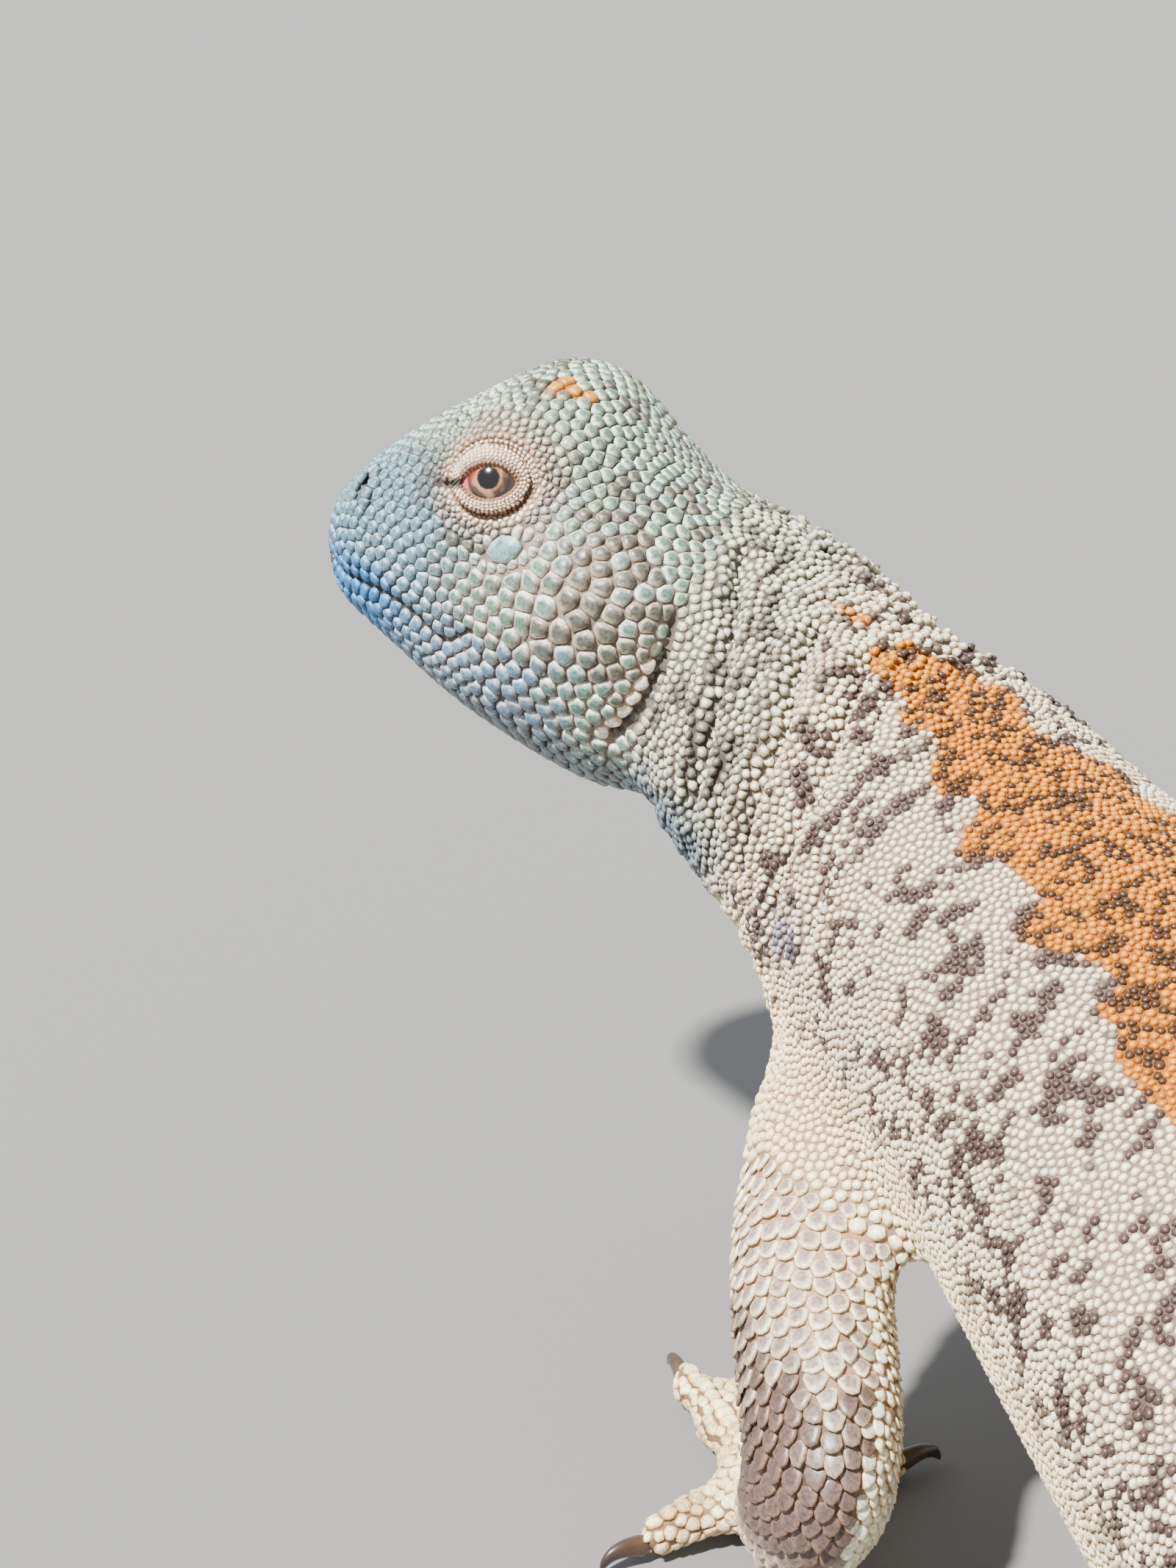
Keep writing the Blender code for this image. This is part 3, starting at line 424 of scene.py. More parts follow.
trunk = {
    # behind the chest, to the left, height of the middle, hips at 112
    "line": ((-18, 2.4, 51.2), (-8, 0.4, 46.2), (0, 0, 43.4), (15, 0, 40), (30, 0, 36.6), (45, 0, 33.2),
             (60, 0, 29.2), (75, 0, 25), (90, 0, 20.2), (102, 0, 15.8), (112, 0, 11.6)),
    "bandEdge": ((-16, 0), (-12, 4), (-5, 11), (0, 15), (5, 27), (15, 32), (25, 42), (35, 44), (80, 42),
                 (112, 26)),
}
limbs = {
    ("left", "front"): ((8, 0, 38.5), (14, 2, 33.8), (21, 9.8, 25.6), (25.2, 17.8, 17.6), (25, 15.8, 10.6),
                        (22.4, 9.6, 6), (20.4, 4.2, 3.2)),
    ("right", "front"): ((-8, -2, 38.5), (-14.4, 0.8, 33.8), (-21.4, 9.6, 25.4), (-26.8, 16, 17.4),
                         (-27.4, 9.6, 11.4), (-26.6, 1.2, 6.2), (-25.8, -4.4, 3.2)),
    ("left", "hind"): ((9, 99, 17), (20, 93, 18), (31, 86, 18.6), (38.6, 82.4, 17.2), (41, 90, 12.6),
                       (42.6, 99, 7.4), (46, 98.4, 3.2)),
    ("right", "hind"): ((-9, 99, 17), (-20, 95, 18), (-31, 91, 18.6), (-37.6, 89.6, 17), (-41, 97.6, 12.4),
                        (-44.4, 106.6, 7.4), (-49, 106.4, 3.2)),
}
claws = {
    ("left", "front"): ((4.6, 5.6), (6.4, -4.4), (10.0, -12.6), (16.2, -16.0), (34.4, 3.6)),
    ("right", "front"): ((-15.0, -8.0), (-17.6, -16.4), (-23.6, -21.0), (-31.0, -20.0), (-38.0, -10.0)),
    ("left", "hind"): ((41.0, 86.4), (46.4, 80.4), (53.6, 78.0), (61.4, 81.4), (61.0, 97.0)),
    ("right", "hind"): ((-43.2, 95.0), (-48.0, 88.0), (-55.6, 84.8), (-64.4, 88.4), (-64.6, 104.4)),
}


def trunkPlaces(points):    # along the body, and degrees round it from the middle of the back to the left
    line = np.array(trunk["line"], float)
    y = points[:, 1]
    x = points[:, 0] - np.interp(y, line[:, 0], line[:, 1])
    z = points[:, 2] - np.interp(y, line[:, 0], line[:, 2])
    tailLine = tailRows()
    onTail = y > tail["rootY"]
    x = np.where(onTail, points[:, 0] - np.interp(y, tailLine[:, 1], tailLine[:, 0]), x)
    z = np.where(onTail, points[:, 2] - np.interp(y, tailLine[:, 1], tailLine[:, 2]), z)
    return y, np.degrees(np.arctan2(x, z))


def nearestOnLine(points, line):    # share along the line, its direction there, and how far it is
    line = np.asarray(line, float)
    best = np.full(len(points), 1e9)
    share, direction = np.zeros(len(points)), np.zeros((len(points), 3))
    for i in range(len(line) - 1):
        run = line[i + 1] - line[i]
        spot = np.clip(((points - line[i]) @ run) / (run @ run), 0, 1)
        away = np.linalg.norm(points - line[i] - spot[:, None] * run, axis=1)
        closer = away < best
        best = np.where(closer, away, best)
        share = np.where(closer, (i + spot) / (len(line) - 1), share)
        direction[closer] = run / np.linalg.norm(run)
    return share, direction, best


def digitLines(limb):
    palm = np.array(limbs[limb][-1])
    return [(palm, np.array([*tip, 1.2])) for tip in claws[limb]]


def flowOf(surface):        # the way the scales point: back along the trunk, out along limbs and toes
    flow = np.tile(headTurn[:, 1], (len(surface.points), 1))
    trunkLine = np.array(trunk["line"], float)[:, [1, 0, 2]]
    tailLine = tailRows()[::8, :3]
    axis = np.vstack([trunkLine, tailLine[1:]])
    onTrunk = within("torso", "tail")
    flow[onTrunk] = nearestOnLine(surface.points, axis)[1][onTrunk]
    onNeck = within("neck")
    flow[onNeck] = unit(headTurn[:, 1] + unit(trunkLine[1] - trunkLine[0]))
    for (side, end), line in limbs.items():
        upper, foot = onLimb(side, end)
        found = [nearestOnLine(surface.points, way) for way in (line, *digitLines((side, end)))]
        flow[upper] = found[0][1][upper]
        closest = np.argmin([away for _, _, away in found], axis=0)
        for number, (_, direction, _) in enumerate(found):
            own = foot & (closest == number)
            flow[own] = direction[own]
    flow = surface.blur(flow, 12)
    return unit(flow - surface.normals * np.sum(flow * surface.normals, axis=1, keepdims=True))


sizes = {
    # how far apart the scales stand, in millimetres
    "beads": 0.66, "farBeads": 1.02, "belly": 1.25, "neck": 0.82, "head": 1.3, "arm": 1.42, "innerArm": 0.85,
    "farLimb": 1.5, "toes": 1.15, "tail": 1.3,
    # on the head: behind the snout tip, height, reach, how far apart
    "headSpots": ((24.5, 3.0, 6.0, 2.1), (19.5, 1.5, 3.0, 1.7), (24.0, -6.0, 6.0, 1.6),
                  (18.0, 17.0, 7.0, 1.3), (27.0, 14.0, 5.0, 1.1), (12.0, 13.0, 3.5, 0.95),
                  (6.0, 7.0, 4.0, 1.1), (6.0, 1.0, 4.5, 1.1), (8.0, -7.0, 5.0, 1.3),
                  (15.5, 9.0, 5.5, 0.75), (17.0, -2.0, 2.5, 1.0), (33.0, 2.0, 3.0, 1.1)),
    # length over breadth
    "flankStretch": 0.72, "bellyStretch": 0.8, "toeStretch": 0.62, "armStretch": 0.8, "headStretch": 1.2,
}


def armZone(normals, hand): # 1 on the outer and front side, where the large plates are
    return ramp(normals @ unit(np.array([0.92 * hand, -0.34, 0.30])), -0.35, 0.10)


def sizeFields(surface):
    points = surface.points
    y, turn = trunkPlaces(points)
    place = headPlaces(points)
    spacing = np.full(len(points), sizes["farBeads"])
    stretch = np.ones(len(points))
    near = ramp(y, 68, 56) * ramp(turn, -56, -40) * ramp(turn, 122, 108)
    spacing += (sizes["beads"] - spacing) * near
    under = ramp(np.abs(turn), 118, 135)
    spacing += (sizes["belly"] - spacing) * under * within("torso")
    stretch += (sizes["bellyStretch"] - 1) * under
    flank = ramp(np.abs(turn), 40, 60) * ramp(np.abs(turn), 130, 115) * ramp(y, 0, 12)
    stretch += (sizes["flankStretch"] - 1) * flank * within("torso")
    spacing[within("neck")] = sizes["neck"]
    onHeadPart = within("head")
    headSize = np.full(len(points), sizes["head"])
    for back, height, reach, value in sizes["headSpots"]:
        away = ((place[:, 1] - back) ** 2 + (place[:, 2] - height) ** 2) / reach ** 2
        headSize += (value - headSize) * np.exp(-away)
    headSize += (sizes["neck"] - headSize) * ramp(place[:, 1], 31, 35)
    spacing[onHeadPart] = headSize[onHeadPart]
    stretch[onHeadPart] = sizes["headStretch"]
    for (side, end), line in limbs.items():
        upper, foot = onLimb(side, end)
        outer = sizes["arm"] if (side, end) == ("left", "front") else sizes["farLimb"]
        plate = armZone(surface.normals, 1 if side == "left" else -1)
        spacing[upper] = (sizes["innerArm"] + (outer - sizes["innerArm"]) * plate)[upper]
        stretch[upper] = sizes["armStretch"]
        spacing[foot] = sizes["toes"]
        stretch[foot] = sizes["toeStretch"]
    spacing[within("tail")] = sizes["tail"]
    stretch[within("tail")] = 1
    return surface.blur(spacing, 14), surface.blur(stretch, 14)


def alongOf(surface):       # how far back or out each point lies, for the rows of scales across the body
    along = surface.points[:, 1].copy()
    back = headPlaces(surface.points)[:, 1]
    along[within("head", "neck")] = back[within("head", "neck")]
    for (side, end), line in limbs.items():
        length = np.linalg.norm(np.diff(np.asarray(line, float), axis=0), axis=1).sum()
        upper, foot = onLimb(side, end)
        along[upper] = nearestOnLine(surface.points, line)[0][upper] * length
        along[foot] = np.linalg.norm(surface.points - np.array(line[-1]), axis=1)[foot]
    return along


limbRoots = {"front": 1.5, "hind": 1.45, "cloud": 3.0, "swing": 0.5}     # in points of the limb's line


def giveRootsToTrunk():     # the roots of the limbs wear the trunk's scales and colours
    cloud = Cloud(8, limbRoots["cloud"])(body.points) * limbRoots["swing"]
    for (side, end), line in limbs.items():
        own = within(f"{limbParts[end][0]}_{side}")
        share = nearestOnLine(body.points, line)[0] * (len(line) - 1)
        bodyNode[own & (share + cloud < limbRoots[end])] = fleshAndTail.index("torso")


giveRootsToTrunk()
flow = flowOf(body)
rowPlace = alongOf(body)
ordered = np.where(within("head", "neck"), 0.0, 1.0)
spacing, stretch = sizeFields(body)
print("fields laid out on the skin")


def fieldAt(faces, values):     # the mean of a field over the corners of some faces of the skin
    return values[body.triangles[faces]].mean(axis=1)


def onto(points):           # the skin's nearest place and face for each point
    found = [skinTree.find_nearest(p) for p in points.tolist()]
    return np.array([f[0] for f in found]), np.array([f[2] for f in found])


def treeOf(points):
    tree = KDTree(len(points))
    for i, p in enumerate(points.tolist()):
        tree.insert(p, i)
    tree.balance()
    return tree


def neighbours(points, count):
    tree = treeOf(points)
    return np.array([[hit[1] for hit in tree.find_n(p, count + 1)][1:] for p in points])


seeding = {
    "seed": 11, "candidates": 5.0, "clearance": 0.70, "mostClear": 1.25,
    # rounds of pushing, how hard and out to what share of the spacing, and the pull into rows
    "rounds": 10, "push": 0.42, "pushReach": 1.12, "neighbours": 8, "rowPull": 0.3,
    # height of a row of evenly packed seeds for their spacing, and the lowest place that a scale grows at
    "packing": 0.866, "lowest": 0.25,
}


def scatter(fixed, fixedSpacing):   # loose seeds all over the skin, none too near another or a fixed one
    random = np.random.default_rng(seeding["seed"])
    local = spacing[body.triangles].mean(axis=1)
    share = np.cumsum(body.areas / (seeding["packing"] * local ** 2))
    total = int(share[-1] * seeding["candidates"])
    faces = np.searchsorted(share, random.random(total) * share[-1])
    one, two = random.random((2, total))
    over = one + two > 1
    one, two = np.where(over, 1 - one, one), np.where(over, 1 - two, two)
    first, second, third = (body.points[body.triangles[faces, corner]] for corner in range(3))
    points = first + one[:, None] * (second - first) + two[:, None] * (third - first)
    tree = treeOf(points)
    alive = np.ones(total, bool)
    for place, own in zip(fixed.tolist(), fixedSpacing):
        for _, i, _ in tree.find_range(place, own * seeding["clearance"]):
            alive[i] = False
    reach = (local[faces] * seeding["clearance"]).tolist()
    for i, place in enumerate(points.tolist()):
        if alive[i]:
            for _, other, _ in tree.find_range(place, reach[i]):
                alive[other] = False
            alive[i] = True
    return points[alive]


def settle(points, held):   # pushes the loose seeds apart over the skin until they stand evenly
    for _ in range(seeding["rounds"]):
        places, faces = onto(points)
        normals = unit(fieldAt(faces, body.normals))
        lie = unit(fieldAt(faces, flow))
        own, ratio = fieldAt(faces, spacing), np.sqrt(fieldAt(faces, stretch))
        near = neighbours(places, seeding["neighbours"])
        away = places[:, None] - places[near]
        along = np.einsum("nkc,nc->nk", away, lie)
        across = np.einsum("nkc,nc->nk", away, np.cross(normals, lie))
        reach = np.hypot(along / ratio[:, None], across * ratio[:, None])
        wanted = (own[:, None] + own[near]) / 2
        facing = np.einsum("nkc,nc->nk", normals[near], normals) > 0
        push = np.clip(seeding["pushReach"] - reach / wanted, 0, 1) * facing * wanted
        far = np.maximum(np.linalg.norm(away, axis=2, keepdims=True), 1e-6)
        shift = np.einsum("nk,nkc->nc", push, away / far) * seeding["push"]
        step = seeding["packing"] * own * ratio
        row = fieldAt(faces, rowPlace) / step
        pull = (np.round(row) - row) * step * seeding["rowPull"] * fieldAt(faces, ordered)
        shift += lie * pull[:, None]
        shift[held] = 0
        points = places + shift
    return onto(points)


# Scales: each one a closed dome whose rim follows the middle between it and its neighbours
scaleShapes = {
    # directions round the rim, and for each ring from the rim in: share of the reach, share of the height
    "bead": {"around": 7, "rings": ((1.0, 0.0), (0.87, 0.62))},
    "plate": {"around": 12, "rings": ((1.0, 0.0), (0.93, 0.40), (0.76, 0.78), (0.42, 0.97))},
}
scaleFit = {"sink": 0.16, "mostReach": 0.95, "neighbours": 14, "plateFrom": 1.0, "rimFrom": 0.6, "rimTo": 0.9,
            "overlapPower": 2.5, "tallest": 2.2, "heightPower": 0.85,
            "plateParts": ("head", "upper", "fore", "thigh", "shin", "hand", "foot")}
relief = {
    # by the start of the solid's name: height for the size, lift of the rear edge, overlap over the next
    # scale, how round the scales are, the gap round each, and how speckled
    "head": (0.30, 0.09, 0.0, 0.12, 0.035, 0.24), "neck": (0.46, 0.24, 0.08, 0.30, 0.02, 0.10),
    "torso": (0.40, 0.14, 0.0, 0.35, 0.03, 0.06), "tail": (0.20, 0.16, 0.15, 0.2, 0.02, 0.06),
    "upper_arm": (0.16, 0.40, 0.42, 0.35, 0.02, 0.12), "forearm": (0.16, 0.40, 0.42, 0.35, 0.02, 0.12),
    "thigh": (0.18, 0.28, 0.28, 0.5, 0.02, 0.08), "shin": (0.18, 0.28, 0.28, 0.5, 0.02, 0.08),
    "hand": (0.20, 0.2, 0.2, 0.2, 0.02, 0.10), "foot": (0.20, 0.2, 0.2, 0.2, 0.02, 0.10),
}


def rimReach(places, normals, lie, own, around, round_, gap):   # how far each rim is in each direction
    count = len(places)
    near = neighbours(places, scaleFit["neighbours"])
    away = places[near] - places[:, None]
    facing = np.einsum("nkc,nc->nk", normals[near], normals) > -0.1
    side = np.cross(normals, lie)
    flat = np.stack([np.einsum("nkc,nc->nk", away, lie), np.einsum("nkc,nc->nk", away, side)], 2)
    share = own[:, None] / (own[:, None] + own[near])
    square = np.sum(flat ** 2, axis=2)
    reach = np.full((count, around), np.inf)
    for k in range(around):
        angle = 2 * math.pi * k / around
        toward = flat @ np.array([math.cos(angle), math.sin(angle)])
        limit = np.where((toward > 1e-3) & facing, share * square / np.maximum(toward, 1e-3), np.inf)
        reach[:, k] = limit.min(axis=1)
    reach = np.clip(reach, 0.1, scaleFit["mostReach"] * own[:, None])
    even = np.median(reach, axis=1, keepdims=True)
    return np.maximum(reach + (even - reach) * round_[:, None] - gap[:, None], 0.08)


def scaleMesh(shape, places, normals, lie, reach, form, tints):
    around, rings = shape["around"], shape["rings"]
    side = np.cross(normals, lie)
    angle = 2 * math.pi * np.arange(around) / around
    rear = np.clip(np.cos(angle), 0, 1)
    outward = np.cos(angle)[None, :, None] * lie[:, None] + np.sin(angle)[None, :, None] * side[:, None]
    height, lean, overlap, _, _, speckle = (part[:, None] for part in form.T)
    reach = reach * (1 + overlap * rear ** scaleFit["overlapPower"])
    random = np.random.default_rng(len(places))
    points, colours, spots = [], [], []
    for share, rise in rings:
        if rise:
            lift = height * rise + lean * share * reach * np.cos(angle)
        else:
            lift = -scaleFit["sink"] + lean * reach * rear
        points.append(places[:, None] + outward * (share * reach)[:, :, None]
                      + normals[:, None] * lift[:, :, None])
        # Colour runs from the middle on top out to the rim; the lighter middle of a bead is partly a painted
        # highlight, and the rear side of the rim takes the rear colour, painted shade under the free edge
        mix = ramp(share, scaleFit["rimFrom"], scaleFit["rimTo"])
        edge = tints[:, 1, None] + (tints[:, 3] - tints[:, 1])[:, None] * (rear ** 2)[None, :, None]
        luck = 1 + speckle * random.uniform(-1.6, 1, (len(places), around)) * (share < 1)
        colours.append((tints[:, 0, None] * (1 - mix) + edge * mix) * luck[:, :, None])
        spots.append(np.tile(share * np.stack([np.cos(angle), np.sin(angle)], 1), (len(places), 1, 1)))
    points.append((places + normals * height)[:, None])
    colours.append(tints[:, 0, None])
    spots.append(np.zeros((len(places), 1, 2)))
    points, colours, spots = (np.concatenate(part, axis=1) for part in (points, colours, spots))
    faces = halved(loftFaces(len(rings), around))
    last = (len(rings) - 1) * around
    faces += [(last + j, last + (j + 1) % around, last + around) for j in range(around)]
    faces += [(0, j + 1, j) for j in range(1, around - 1)]
    per = points.shape[1]
    triangles = (np.array(faces)[None] + per * np.arange(len(places))[:, None, None]).reshape(-1, 3)
    return points.reshape(-1, 3), triangles, colours.reshape(-1, 3), spots.reshape(-1, 2)


def triangleObject(name, points, triangles, tints, atlas=None):
    mesh = bpy.data.meshes.new(name)
    mesh.vertices.add(len(points))
    mesh.vertices.foreach_set("co", inFrame(points).astype(np.float32).ravel())
    mesh.loops.add(triangles.size)
    mesh.loops.foreach_set("vertex_index", triangles.astype(np.int32).ravel())
    mesh.polygons.add(len(triangles))
    mesh.polygons.foreach_set("loop_start", np.arange(0, triangles.size, 3, dtype=np.int32))
    mesh.update(calc_edges=True)
    mesh.shade_smooth()
    colours = mesh.color_attributes.new("tint", "FLOAT_COLOR", "POINT")
    opaque = np.column_stack([tints, np.ones(len(tints))])
    colours.data.foreach_set("color", opaque.astype(np.float32).ravel())
    if atlas is not None:
        layer = mesh.uv_layers.new(name="OFBake")
        layer.data.foreach_set("uv", atlas[triangles.ravel()].astype(np.float32).ravel())
    return newObject(name, mesh)


# Seeds that are held in place: rows round the eyes, lips, ear edges; and gaps where no scale grows
eyeLids = {
    # two almonds on the ball: half length, half height, how round the ends are, and the middle
    "opening": (2.3, 1.38, 1.45, 0.40, 0.16), "mound": (3.65, 3.02, 1.95, 0.22, 0.42), "width": 1.65,
    # how far outside the opening, and how far the skin stands above the eyeball there
    "profile": ((-0.5, -0.6), (-0.14, -0.35), (0.0, 0.30), (0.25, 0.46), (0.9, 0.58), (1.35, 0.42),
                (1.62, 0.12)),
    "crease": 1.74, "creaseDepth": 0.30, "ridge": 2.15, "ridgeHeight": 0.38,
    "canthus": ((2.6, 0.05), (5.2, 0.25)), "canthusDepth": 0.45,
    # rows of scales: how far outside the opening, how far apart along the row, and how unevenly they stand
    "rows": ((0.12, 0.34, 0), (0.38, 0.32, 0), (0.62, 0.33, 0.02), (0.86, 0.34, 0.03), (1.10, 0.35, 0.03),
             (1.36, 0.38, 0.02), (1.62, 0.42, 0), (2.0, 0.60, 0.06), (2.4, 0.66, 0.08), (2.84, 0.74, 0.1),
             (3.32, 0.82, 0.12), (3.86, 0.9, 0.14)),
    "rowSeed": 17, "looseFrom": 1.9,
}
mouth = {
    "line": ((0.2, -1.2, -3.6), (2.6, -0.6, -3.6), (5.8, 3.6, -3.7), (8.7, 7.4, -3.1), (9.9, 10.6, -3.0),
             (10.7, 13.2, -3.5), (11.4, 15.7, -4.0), (12.3, 17.5, -2.1)),
    "lipAway": 0.8, "lipSpacing": 1.15, "gapSpacing": 0.34, "depth": 0.5, "width": 0.7,
}
subocular = {"from": (12.4, 16.6, 3.9), "to": (13.2, 20.5, 7.0), "halfHeight": 0.85, "away": 0.45,
             "spacing": 0.9, "size": 5.0}
nostril = {"line": ((6.0, 4.0, 4.2), (6.3, 4.2, 3.5), (6.4, 4.3, 3.0)), "width": 0.5, "depth": 0.8,
           "swelling": 0.3}
ear = {"line": ((12.6, 32.9, 5.6), (13.5, 33.3, 3.0), (14.0, 33.3, 0.2), (13.8, 32.6, -2.8),
                (13.0, 31.4, -5.2)),
       "depth": 0.95, "width": 0.55, "toothSpacing": 1.25, "toothAhead": 0.8}
hollows = (
    # side, back, height, reach and depth: before the eye, below it, temple, and the bulge of the jaw muscle
    (7.4, 9.4, 7.6, 1.9, 0.45), (11.6, 16.6, 3.6, 2.2, 0.35), (11.0, 24.0, 12.0, 3.0, 0.35),
    (13.2, 26.0, 0.5, 5.5, -0.55), (9.0, 13.6, 13.0, 2.2, -0.25),
)
folds = {
    "lines": (((5.5, -14, 63.5), (12.1, -9, 58.1), (15.8, -7.9, 48.7)),
              ((6.4, -22.9, 67.1), (11.9, -16.9, 61.4), (15.1, -14.3, 55.7), (16, -14.7, 51)),
              ((3.9, -9.6, 62.2), (11.6, -4.1, 56.8), (15.4, -3.7, 50.2), (16.4, -2.8, 42.6)),
              ((9.6, -21.4, 64.2), (13.4, -18.6, 58.2), (14.6, -18.8, 52.4)),
              ((8.6, -1.6, 56.2), (14.4, 1.2, 51.4), (17.6, 1.8, 45.8))),
    "depths": (1.5, 1.2, 1.2, 0.9, 0.8), "width": 0.85, "ripple": 0.24, "rippleEvery": 2.1,
}


def resample(line, every):
    line = smoothRows(line, 8) if len(line) > 2 else np.asarray(line, float)
    steps = np.linalg.norm(np.diff(line, axis=0), axis=1)
    run = np.concatenate([[0], np.cumsum(steps)])
    at = np.linspace(0, run[-1], max(2, int(run[-1] / every)))
    return np.stack([np.interp(at, run, line[:, axis]) for axis in range(3)], 1)


def headLine(line, hand, every):
    return resample([onHead(hand * side, back, height) for side, back, height in line], every)


def awayFrom(points, line):
    return nearestOnLine(points, line)[2]


def besideLine(place, hand, line):  # how far from a line on that side of the head, seen from that side
    flat = resample(line, 0.4) * (0, 1, 1)
    return nearestOnLine(place * (0, 1, 1), flat)[2] + 9 * (place[:, 0] * hand < 0)


def underEyePlate(away):    # middle, length's direction and half, and height's direction and half
    start, end = np.array(subocular["from"]), np.array(subocular["to"])
    along = unit(end - start)
    across = unit(np.cross(along, (1, 0, 0)))
    half = np.linalg.norm(end - start) / 2 + away
    return (start + end) / 2, along, half, across, subocular["halfHeight"] + away


def underEye(points, hand, away):   # 1 at the rim of the long plate below the eye, less inside it
    middle, along, half, across, tall = underEyePlate(away)
    flat = headPlaces(points) * (hand, 1, 1) - middle
    return np.hypot(flat @ along / half, flat @ across / tall)


def underEyeRing(hand):     # the small scales round that plate, and its middle last
    middle, along, half, across, tall = underEyePlate(subocular["away"])
    angle = np.linspace(0, 2 * math.pi, 300)
    ring = np.outer(np.cos(angle) * half, along) + np.outer(np.sin(angle) * tall, across)
    ring = np.vstack([resample(ring, subocular["spacing"])[:-1], (0, 0, 0)]) + middle
    return np.array([onHead(hand * side, back, height) for side, back, height in ring])


def eyePlaces(points, hand):
    centre, turn = eyeFrame(hand)
    return (points - centre) @ turn


def almond(share):          # between the opening, 0, and the edge of the lids, 1, and on past it
    opening, mound = np.array(eyeLids["opening"]), np.array(eyeLids["mound"])
    halfLength, halfHeight, power, aside, above = opening + (mound - opening) * share
    return max(halfLength, 0.05), max(halfHeight, 0.05), min(power, 2.0), aside, above


def lidDistance(flat):      # about how far outside the opening between the lids, negative inside it
    distance = np.full(len(flat), 12.0)
    last = None
    for share in np.arange(-0.9, 4.1, 0.1):
        halfLength, halfHeight, power, aside, above = almond(share)
        level = (np.abs(flat[:, 0] - aside) / halfLength) ** 2
        level = level + (np.abs(flat[:, 1] - above) / halfHeight) ** power - 1
        if last is not None:
            crossed = (level <= 0) & (last > 0) & (distance > 11)
            part = last / np.maximum(last - level, 1e-9)
            distance = np.where(crossed, share - 0.1 + 0.1 * part, distance)
        else:
            distance = np.where(level <= 0, share, distance)
        last = level
    return np.where(distance > 11, 4.2, distance) * eyeLids["width"]


def dent(values, middle, width):
    return np.exp(-((values - middle) / width) ** 2)


def canthusDistance(local):  # from the fold that runs on from the front corner of the eye
    line = [(*place, 0) for place in eyeLids["canthus"]]
    return nearestOnLine(local * (1, 1, 0), line)[2]


def shapeEye(surface, hand):
    centre, turn = eyeFrame(hand)
    local = eyePlaces(surface.points, hand)
    away = np.linalg.norm(surface.points - centre, axis=1)
    outside = lidDistance(local[:, :2])
    near = (local[:, 2] > -0.4) & (away < 9)
    rise = np.interp(outside, *zip(*eyeLids["profile"]))
    share = np.where(near, 1 - ramp(outside, 1.6, 2.5), 0)
    outward = (surface.points - centre) / np.maximum(away[:, None], 1e-6)
    target = centre + outward * (head["eyeRadius"] + rise)[:, None]
    surface.points += (target - surface.points) * share[:, None]
    surface.update()
    lift = eyeLids["ridgeHeight"] * dent(outside, eyeLids["ridge"], 0.4) * ramp(local[:, 1], -0.5, 1.5)
    lift -= eyeLids["creaseDepth"] * dent(outside, eyeLids["crease"], 0.24)
    lift -= eyeLids["canthusDepth"] * dent(canthusDistance(local), 0, 0.3)
    surface.points += surface.normals * np.where(near, lift, 0)[:, None]
    surface.update()


def shapeFace(surface):     # lids, mouth, nostrils, ears and hollows pressed into the skin
    for hand in (-1, 1):
        shapeEye(surface, hand)
        place = headPlaces(surface.points) * (hand, 1, 1)
        lift = np.zeros(len(surface.points))
        for side, back, height, reach, depth in hollows:
            lift -= depth * dent(np.linalg.norm(place - (side, back, height), axis=1), 0, reach)
        for groove, every in ((mouth, 0.4), (ear, 0.5)):
            away = awayFrom(surface.points, headLine(groove["line"], hand, every))
            lift -= groove["depth"] * dent(away, 0, groove["width"])
        away = awayFrom(surface.points, headLine(nostril["line"], hand, 0.3))
        lift += (nostril["swelling"] * dent(away, 1.0, 0.6)
                 - nostril["depth"] * dent(away, 0, nostril["width"]))
        surface.points += surface.normals * lift[:, None]
    surface.update()


def foldNeck(surface):      # deep folds where the head turns, and fine ripples between them
    lift = np.zeros(len(surface.points))
    for hand in (-1, 1):
        for line, depth in zip(folds["lines"], folds["depths"]):
            middle = np.interp([y for _, y, _ in line], *np.array(trunk["line"], float)[:, :2].T)
            run = [(m + hand * (x - m), y, z) for (x, y, z), m in zip(line, middle)]
            away = awayFrom(surface.points, resample(run, 0.5))
            lift -= depth * dent(away, 0, folds["width"])
            lift += 0.4 * depth * dent(away, 1.7 * folds["width"], folds["width"])
    back = headPlaces(surface.points)[:, 1]
    warp = Cloud(8, 6.0)(surface.points) * 5
    onNeck = ramp(back, 33, 37) * ramp(surface.points[:, 1], 4, -4)
    lift += folds["ripple"] * np.sin(2 * math.pi * (back + warp) / folds["rippleEvery"]) * onNeck
    surface.points += surface.normals * lift[:, None]
    surface.update()


shapeFace(body)
foldNeck(body)
skinTree = body.tree()
print("face and folds shaped")


def castToSkin(points, direction):
    found = []
    for p in points:
        place, _, _, _ = skinTree.ray_cast((p + direction * 6).tolist(), (-direction).tolist())
        if place is not None:
            found.append(np.array(place))
    return np.array(found)


